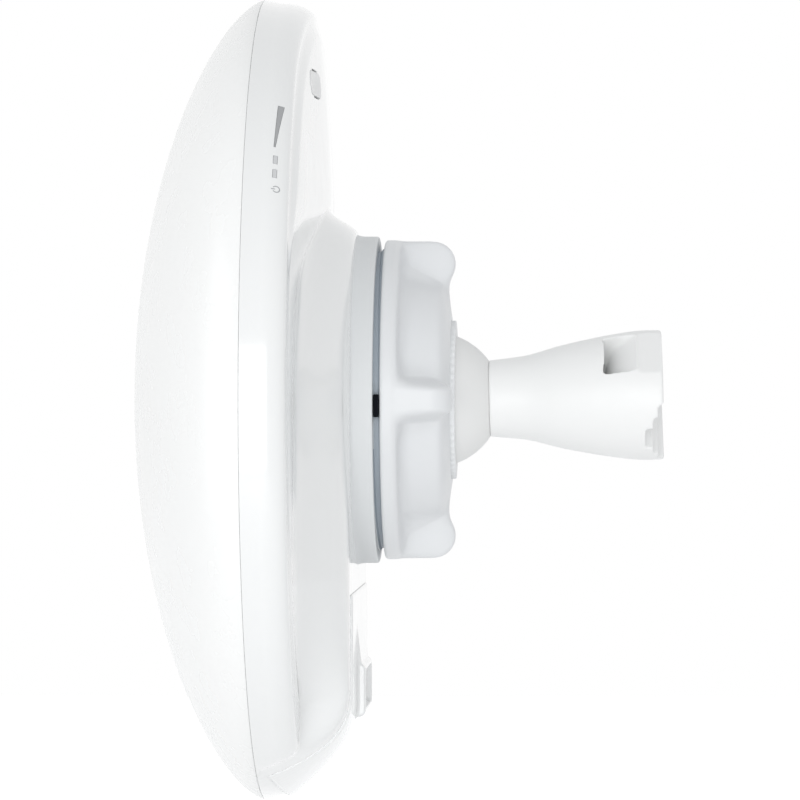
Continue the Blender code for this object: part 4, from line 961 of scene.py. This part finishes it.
def thread_ridge():
    """Coarse thread wound round the collar, which shows in the gap before the lock ring."""
    root = THREAD_RADIUS - THREAD_DEPTH - THREAD_SUNK
    section = [
        (0, root), (THREAD_CREST_START, THREAD_RADIUS), (THREAD_CREST_END, THREAD_RADIUS),
        (THREAD_FOOT_END, root),
    ]
    bm = bmesh.new()
    face = bm.faces.new([bm.verts.new((THREAD_START + x, 0, r)) for x, r in section])
    bmesh.ops.spin(
        bm, geom=[face], axis=(1, 0, 0), cent=(0, 0, 0), angle=THREAD_TURNS * math.tau,
        steps=THREAD_STEPS, dvec=(THREAD_TURNS * THREAD_PITCH / THREAD_STEPS, 0, 0),
    )
    return bm


def mount_base():
    collar_end = FLANGE_REAR - RING_WALL - GAP
    collar = THREAD_RADIUS - THREAD_DEPTH
    collar_inner = THREAD_RADIUS - THREAD_WALL
    groove_floor = BASE_FRONT + BASE_FLOOR
    socket_outer = SOCKET_RADIUS + SOCKET_WALL
    foot = []
    for turn in spread(0, math.pi / 2, 9):
        x = PLATEAU_X - GAP + BOSS_FOOT_LENGTH * (1 - math.cos(turn))
        foot.append((x, BOSS_RADIUS + BOSS_FOOT * (1 - math.sin(turn))))
    outside = rounded(
        [(foot[-1][0] - GAP, BOSS_RADIUS), (BOSS_FACE, BOSS_RADIUS), (BOSS_FACE, collar)],
        [BOSS_EDGE_ROUND], 8,
    )
    profile = [(BASE_FRONT, 0), (BASE_FRONT, BOSS_RADIUS)] + foot + outside[1:]
    profile += [(collar_end, collar), (collar_end, collar_inner)]
    profile += [(groove_floor, collar_inner), (groove_floor, socket_outer)]
    profile += [(-SOCKET_END, socket_outer)]
    start = math.degrees(math.acos(-SOCKET_END / SOCKET_RADIUS))
    profile += arc((0, 0), SOCKET_RADIUS, start, 180, 24)[:-1] + [(-SOCKET_RADIUS, 0)]
    shape = joined(turned(profile, TURNED_SEGMENTS, closed=False), thread_ridge())
    # Collar faces behind the boss face get the painted gap shade as their second finish
    for face in shape.faces:
        middle = face.calc_center_median()
        on_collar = collar_inner < middle.yz.length < THREAD_RADIUS + GAP
        if on_collar and middle.x > THREAD_SHADE_START:
            face.material_index = 1
    dressed(
        "mount_boss", shape, boss_grey, "dish", ["mount_base"],
        second=thread_painted_shade,
    )


def ring_stop():
    low, high = span("ring_stop")
    shape = softened(block(low, high), STOP_EDGE)
    dressed("stop_block", shape, stop_black, "dish", ["ring_stop"])


def ring_paths():
    """(x, radius) chains of the lock ring's front, gap between lobes, lobe and rear."""
    shoulder = DOME_REAR - DOME_RISE
    opening = COLLET_RADIUS + GAP
    bore = THREAD_RADIUS + GAP
    start = (FLANGE_REAR - RING_FLANGE_EDGE, RING_RADIUS)
    end = (shoulder, DOME_RADIUS)
    front = rounded(
        [(RING_FRONT, bore), (RING_FRONT, RING_RADIUS), start], [RING_FRONT_ROUND], 8
    )
    hub_rear = (shoulder - DOME_RISE, DOME_RADIUS + DOME_RISE)
    valley = rounded(
        [start, (FLANGE_REAR, RING_RADIUS), (FLANGE_REAR, HUB_RADIUS), hub_rear, end],
        RING_VALLEY_ROUNDS, 10,
    )
    centre = (LOBE_REAR - LOBE_ROUND, LOBE_RADIUS - LOBE_ROUND)
    lobe = [start, (FLANGE_REAR, LOBE_RADIUS)]
    lobe += arc(centre, LOBE_ROUND, 90, LOBE_ARC_END, 30) + [end]
    mouth = [(DOME_REAR, opening + DOME_RISE), (DOME_REAR, opening)]
    rear = rounded([end, *mouth, (DOME_REAR - DOME_WALL, opening)], RING_MOUTH_ROUNDS)
    return front, resampled(valley, RING_PATH_POINTS), resampled(lobe, RING_PATH_POINTS), rear[1:]


def spoke_angle(share):
    """Angle from the middle of a lobe for a share of the way to the middle of the next gap."""
    for i in range(len(SPOKE_SHARES) - 1):
        if share <= SPOKE_SHARES[i + 1]:
            break
    part = (share - SPOKE_SHARES[i]) / (SPOKE_SHARES[i + 1] - SPOKE_SHARES[i])
    return math.radians(mix(SPOKE_ANGLES[i], SPOKE_ANGLES[i + 1], part))


def lock_ring():
    front, valley, lobe, rear = ring_paths()
    hub_inner = HUB_RADIUS - HUB_WALL
    step = FLANGE_REAR - RING_WALL
    shoulder = DOME_REAR - DOME_RISE
    inside = [(shoulder - DOME_WALL, DOME_RADIUS - DOME_RISE)]
    inside += [(step, hub_inner), (step, THREAD_RADIUS + GAP)]
    profile = front[:-1] + valley + rear + inside
    raised = dict(enumerate(lobe, len(front) - 1))
    shape = turned(profile, LOBE_SEGMENTS * LOBE_COUNT)
    station = shape.verts.layers.int["station"]
    half = LOBE_WIDTH / 2
    quarter = math.tau / LOBE_COUNT
    for vert in shape.verts:
        x = vert.co.x
        radius = vert.co.yz.length
        angle = math.atan2(vert.co.y, vert.co.z)
        lobe_angle = round(angle / quarter) * quarter
        away = angle - lobe_angle
        turn = math.copysign(spoke_angle(abs(away) / (quarter / 2)), away)
        side = LOBE_RADIUS * math.sin(turn)
        steep = smooth_step(half - LOBE_FLANK_START, half + LOBE_STEEP_END, abs(side))
        gentle = smooth_step(half - LOBE_FLANK_START, half + LOBE_GENTLE_END, abs(side))
        share = 1 - mix(steep, gentle, LOBE_GENTLE_SHARE)
        high = raised.get(vert[station])
        if high and share > 0:
            x = mix(x, high[0], share)
            radius = mix(radius, high[1], share)
        straight = smooth_step(half + LOBE_STRAIGHT_START, half + LOBE_STRAIGHT_END, abs(side))
        upright = math.asin(max(-1, min(1, side / max(radius, LOBE_TURN_RADIUS))))
        place = lobe_angle + mix(upright, turn, straight)
        vert.co = (x, radius * math.sin(place), radius * math.cos(place))
    last = len(profile) - len(inside) - 2
    skin = [vert for vert in shape.verts if len(front) <= vert[station] < last]
    relaxed(shape, skin, LOBE_EASING)
    dressed(
        "lobed_ring", shape, ring_white_painted_shade, "lock_ring", ["lock_ring"],
        sharp=RING_SHARP,
    )


def clamp_collet():
    inner = BALL_RADIUS + GAP
    flange_rear = DOME_REAR - DOME_RISE - DOME_WALL - GAP
    flange_front = flange_rear - COLLET_FLANGE_THICKNESS
    start = math.degrees(math.acos(COLLET_REAR / inner))
    end = math.degrees(math.acos(flange_front / inner))
    profile = arc((0, 0), inner, start, end, 14)
    profile += [(flange_front, COLLET_FLANGE_RADIUS), (flange_rear, COLLET_FLANGE_RADIUS)]
    profile.append((flange_rear, COLLET_RADIUS))
    side = [(DOME_REAR - COLLET_SIDE_START, COLLET_RADIUS), (COLLET_REAR, COLLET_RADIUS)]
    profile += rounded([*side, profile[0]], [COLLET_EDGE_ROUND])[:-1]
    shape = turned(profile, COLLET_SEGMENTS)
    for vert in shape.verts:
        radius = vert.co.yz.length
        if vert.co.x > DOME_REAR - RIB_START and radius > inner * 0.99:
            angle = math.atan2(vert.co.y, vert.co.z)
            rib = 0.5 + 0.5 * math.cos(angle * RIB_COUNT)
            reach = smooth_step(RIB_INNER_RADIUS, RIB_OUTER_RADIUS, radius)
            vert.co.yz *= 1 - RIB_DEPTH * (1 - rib) * reach
    dressed(
        "ribbed_collet", shape, collet_white, "clamp_collet",
        ["clamp_collet"], sharp=COLLET_SHARP,
    )


def ball():
    front = 180 - math.degrees(math.asin(BALL_RECESS / BALL_RADIUS))
    rear = math.degrees(math.asin(NECK_RADIUS / BALL_RADIUS))
    profile = [(BALL_FLAT_X, BALL_BORE)] + arc((0, 0), BALL_RADIUS, rear, front, 64)
    profile += [(BALL_RECESS_FLOOR, BALL_RECESS), (BALL_RECESS_FLOOR, BALL_BORE)]
    shape = turned(profile, BALL_SEGMENTS)
    to = TO_ARM @ Matrix.Translation((-ARM_LENGTH, 0, 0))
    dressed("swivel_ball", shape, ball_grey, "ball", ["ball"], to)


# Pole arm


def arm_radius(x):
    """Half height of the arm at a distance along it."""
    spans = list(zip(ARM_STATIONS, ARM_STATIONS[1:]))
    slopes = [(b[1] - a[1]) / (b[0] - a[0]) for a, b in spans]
    tangents = [slopes[0]] + [(a + b) / 2 for a, b in zip(slopes, slopes[1:])] + [0]
    for i, (a, b) in enumerate(spans):
        if x <= b[0]:
            break
    reach = b[0] - a[0]
    t = (x - a[0]) / reach
    rise = a[1] * (1 + 2 * t) * (1 - t) ** 2 + b[1] * t * t * (3 - 2 * t)
    return rise + reach * (tangents[i] * t * (1 - t) ** 2 - tangents[i + 1] * t * t * (1 - t))


def groove_outline():
    """(x, y) outline of the pole groove: round-cornered steps down both walls to a flat floor."""
    half = []
    tread = JAW_RADIUS
    for half_width, depth in zip(GROOVE_HALF_WIDTHS, GROOVE_DEPTHS):
        half.append((tread, half_width))
        centre = (GROOVE_CORNER - depth, half_width - GROOVE_CORNER)
        half += arc(centre, GROOVE_CORNER, 90, 180, 9)
        tread = -depth
    return half + [(x, -y) for x, y in reversed(half)]


def strap_slot():
    """Cutting shape of the strap slot, which bows away from the pole in the middle of the arm."""
    end = JAW_RADIUS + STRAP_SLOT_CORNER
    sides = spread(-end, end, 41)

    def wall(y, path, mouth):
        return -mix(path, mouth, abs(y / JAW_RADIUS) ** STRAP_BOW_POWER)

    outline = [(wall(y, STRAP_PATH_FRONT, STRAP_MOUTH_FRONT), y) for y in sides]
    outline += [(wall(y, STRAP_PATH_REAR, STRAP_MOUTH_REAR), y) for y in reversed(sides)]
    half = STRAP_SLOT_HALF_WIDTH
    shape = prism([(x, y, -half) for x, y in outline], (0, 0, 2 * half))
    rims = [e for e in shape.edges if abs(e.verts[0].co.z - e.verts[1].co.z) < HAIR]
    return softened(shape, STRAP_SLOT_CORNER, 5, rims, clamp=False)


def strap_land(side):
    """Cutting shape of the flat beside a mouth of the strap slot."""
    reach = 2 * JAW_RADIUS
    low, high = sorted((side * (JAW_RADIUS - STRAP_LAND_DROP), side * reach))
    return block((-STRAP_LAND_LENGTH, low, -reach), (reach, high, reach))


def pole_arm():
    xs = spread(ARM_FRONT, -JAW_EDGE, 72)
    front = ARM_FRONT - GAP
    profile = [(front, 0), (front, NECK_RADIUS)]
    profile += [(x, arm_radius(x)) for x in xs[1:]]
    profile += arc((-JAW_EDGE, JAW_RADIUS - JAW_EDGE), JAW_EDGE, 90, 0, 5)[1:] + [(0, 0)]
    shape = turned(profile, TURNED_SEGMENTS, closed=False)
    bmesh.ops.triangulate(shape, faces=shape.faces)
    reach = 2 * JAW_RADIUS
    groove = prism([(x, y, -reach) for x, y in groove_outline()], (0, 0, 2 * reach))
    shape = carved(
        shape,
        ("DIFFERENCE", rod(ARM_FRONT - 2 * GAP, ARM_FRONT + ARM_BORE_LENGTH, BALL_BORE)),
        ("DIFFERENCE", joined(strap_land(-1), strap_land(1))),
        ("DIFFERENCE", strap_slot()),
        ("DIFFERENCE", groove),
    )
    shape = eased(shape, ARM_GRAIN, ARM_EASING)
    dressed(
        "pole_saddle_arm", shape, arm_white, "pole_arm", ["pole_arm"], TO_ARM
    )


def reset_button():
    middle = button_middle()
    bottom = span("reset_button")[0].x
    radius = BUTTON_RADIUS - BUTTON_CLEARANCE
    flange = BUTTON_RADIUS + BUTTON_FLANGE_WIDTH
    flange_top = bottom + BUTTON_FLANGE_TOP
    flange_low = bottom + BUTTON_FLANGE_LOW
    dish = [(-BUTTON_DISH, 0), (-BUTTON_DISH, BUTTON_DISH_RADIUS), (0, radius - BUTTON_LIP)]
    face = rounded([*dish, (0, radius), (-BUTTON_SIDE, radius)], BUTTON_ROUNDS)
    under = [(flange_top, radius), (flange_top, flange), (flange_low, flange)]
    stem = [(flange_low, BUTTON_STEM_RADIUS), (bottom, BUTTON_STEM_RADIUS), (bottom, 0)]
    shape = turned(face + under + stem, BUTTON_SEGMENTS, closed=False)
    station = shape.verts.layers.int["station"]
    for vert in shape.verts:
        if vert[station] < len(face + under):
            bar = vert.co.y
            if abs(bar) > HAIR:
                bar += math.copysign(BUTTON_HALF_LENGTH - BUTTON_RADIUS, bar)
            oval = vert.co.y * BUTTON_HALF_LENGTH / BUTTON_RADIUS
            out = vert.co.yz.length / radius
            vert.co.y = mix(oval, bar, smooth_step(BUTTON_OVAL_END, BUTTON_BAR_START, out))
        vert.co += Vector((0, middle.y, middle.z))
        if vert[station] < len(face):
            vert.co.x += back_surface(vert.co.y, vert.co.z) + BUTTON_PROUD
    dressed(
        "oval_button", shape, button_white, "reset_button", ["reset_button"]
    )


# Pieces that keep their solids


SCREWS = [f"{row}_screw_{i}" for row in ("reflector", "board", "base") for i in range(1, 5)]
KEPT = {
    seal_black: ("rim_seal", "base_seal", "cable_grommet"),
    spun_aluminium: ("main_reflector", "sub_reflector", "feed_tube", "feed_flange"),
    milled_aluminium: ("heat_spreader",),
    zinc_steel: ("rf_shield", "ball_washer", "ball_screw", *SCREWS),
    board_green: ("radio_board", "indicator_board"),
    liner_white: ("feed_cone", "ball_liner"),
    pad_grey: ("thermal_pad",),
    socket_black: ("network_jack_1", "network_jack_2", "reset_switch"),
    bay_grey: ("port_bay",),
}


def kept_solids():
    for finish, names in KEPT.items():
        for name in names:
            node = frame["nodes"][name]
            node.data.materials.clear()
            node.data.materials.append(finish)


# Stage


def area_lamp(name, place, aim, width, height, power):
    lamp = bpy.data.lights.new(name, "AREA")
    lamp.shape = "RECTANGLE"
    lamp.size = width
    lamp.size_y = height
    lamp.energy = power
    made = bpy.data.objects.new(name, lamp)
    made.location = place
    made.rotation_euler = (Vector(aim) - Vector(place)).to_track_quat("-Z", "Y").to_euler()
    bpy.context.scene.collection.objects.link(made)


def seen_share(tree):
    """1 where a surface is seen, also by reflection or through glass, 0 where it gives light."""
    path = tree.nodes.new("ShaderNodeLightPath")
    share = path.outputs["Is Camera Ray"]
    for ray in ("Is Glossy Ray", "Is Transmission Ray"):
        either = tree.nodes.new("ShaderNodeMath")
        either.operation = "MAXIMUM"
        tree.links.new(share, either.inputs[0])
        tree.links.new(path.outputs[ray], either.inputs[1])
        share = either.outputs[0]
    return share


def world_light():
    world = bpy.data.worlds.new("studio")
    bpy.context.scene.world = world
    world.use_nodes = True
    tree = world.node_tree
    out = tree.nodes["World Output"]
    soft = tree.nodes["Background"]
    soft.inputs["Color"].default_value = SKY_COLOUR
    soft.inputs["Strength"].default_value = SKY_STRENGTH
    white = tree.nodes.new("ShaderNodeBackground")
    white.inputs["Color"].default_value = WHITE
    white.inputs["Strength"].default_value = 1.0
    pick = tree.nodes.new("ShaderNodeMixShader")
    tree.links.new(seen_share(tree), pick.inputs[0])
    tree.links.new(soft.outputs[0], pick.inputs[1])
    tree.links.new(white.outputs[0], pick.inputs[2])
    tree.links.new(pick.outputs[0], out.inputs["Surface"])


def floor():
    bm = bmesh.new()
    bmesh.ops.create_grid(bm, x_segments=8, y_segments=8, size=FLOOR_HALF_WIDTH)
    bmesh.ops.translate(bm, vec=(0, 0, FLOOR_HEIGHT), verts=bm.verts)
    made = as_object("floor", bm)
    paint = bpy.data.materials.new("floor_white")
    paint.use_nodes = True
    tree = paint.node_tree
    shader = tree.nodes["Principled BSDF"]
    shader.inputs["Base Color"].default_value = FLOOR_COLOUR
    shader.inputs["Roughness"].default_value = FLOOR_ROUGHNESS
    glow = tree.nodes.new("ShaderNodeEmission")
    glow.inputs["Color"].default_value = WHITE
    strength = tree.nodes.new("ShaderNodeMath")
    strength.operation = "MULTIPLY"
    strength.inputs[1].default_value = FLOOR_GLOW
    tree.links.new(seen_share(tree), strength.inputs[0])
    tree.links.new(strength.outputs[0], glow.inputs["Strength"])
    both = tree.nodes.new("ShaderNodeAddShader")
    tree.links.new(shader.outputs[0], both.inputs[0])
    tree.links.new(glow.outputs[0], both.inputs[1])
    tree.links.new(both.outputs[0], tree.nodes["Material Output"].inputs["Surface"])
    made.data.materials.append(paint)


def camera():
    lens = bpy.data.cameras.new("camera")
    lens.sensor_width = CAMERA_SENSOR
    lens.lens = CAMERA_LENS
    lens.clip_end = CAMERA_CLIP_END
    made = bpy.data.objects.new("camera", lens)
    back = Vector((math.sin(CAMERA_TURN), -math.cos(CAMERA_TURN), 0))
    made.location = CAMERA_TARGET + CAMERA_DISTANCE * back
    made.rotation_euler = (CAMERA_TARGET - made.location).to_track_quat("-Z", "Y").to_euler()
    bpy.context.scene.collection.objects.link(made)
    bpy.context.scene.camera = made


radome()
rear_shell()
lenses()
port_cover()
mount_base()
ring_stop()
lock_ring()
clamp_collet()
ball()
pole_arm()
reset_button()
kept_solids()

bpy.context.scene.view_settings.view_transform = "Standard"
world_light()
for lamp_name, lamp_sizes in LAMPS.items():
    area_lamp(lamp_name, *lamp_sizes)
floor()
camera()
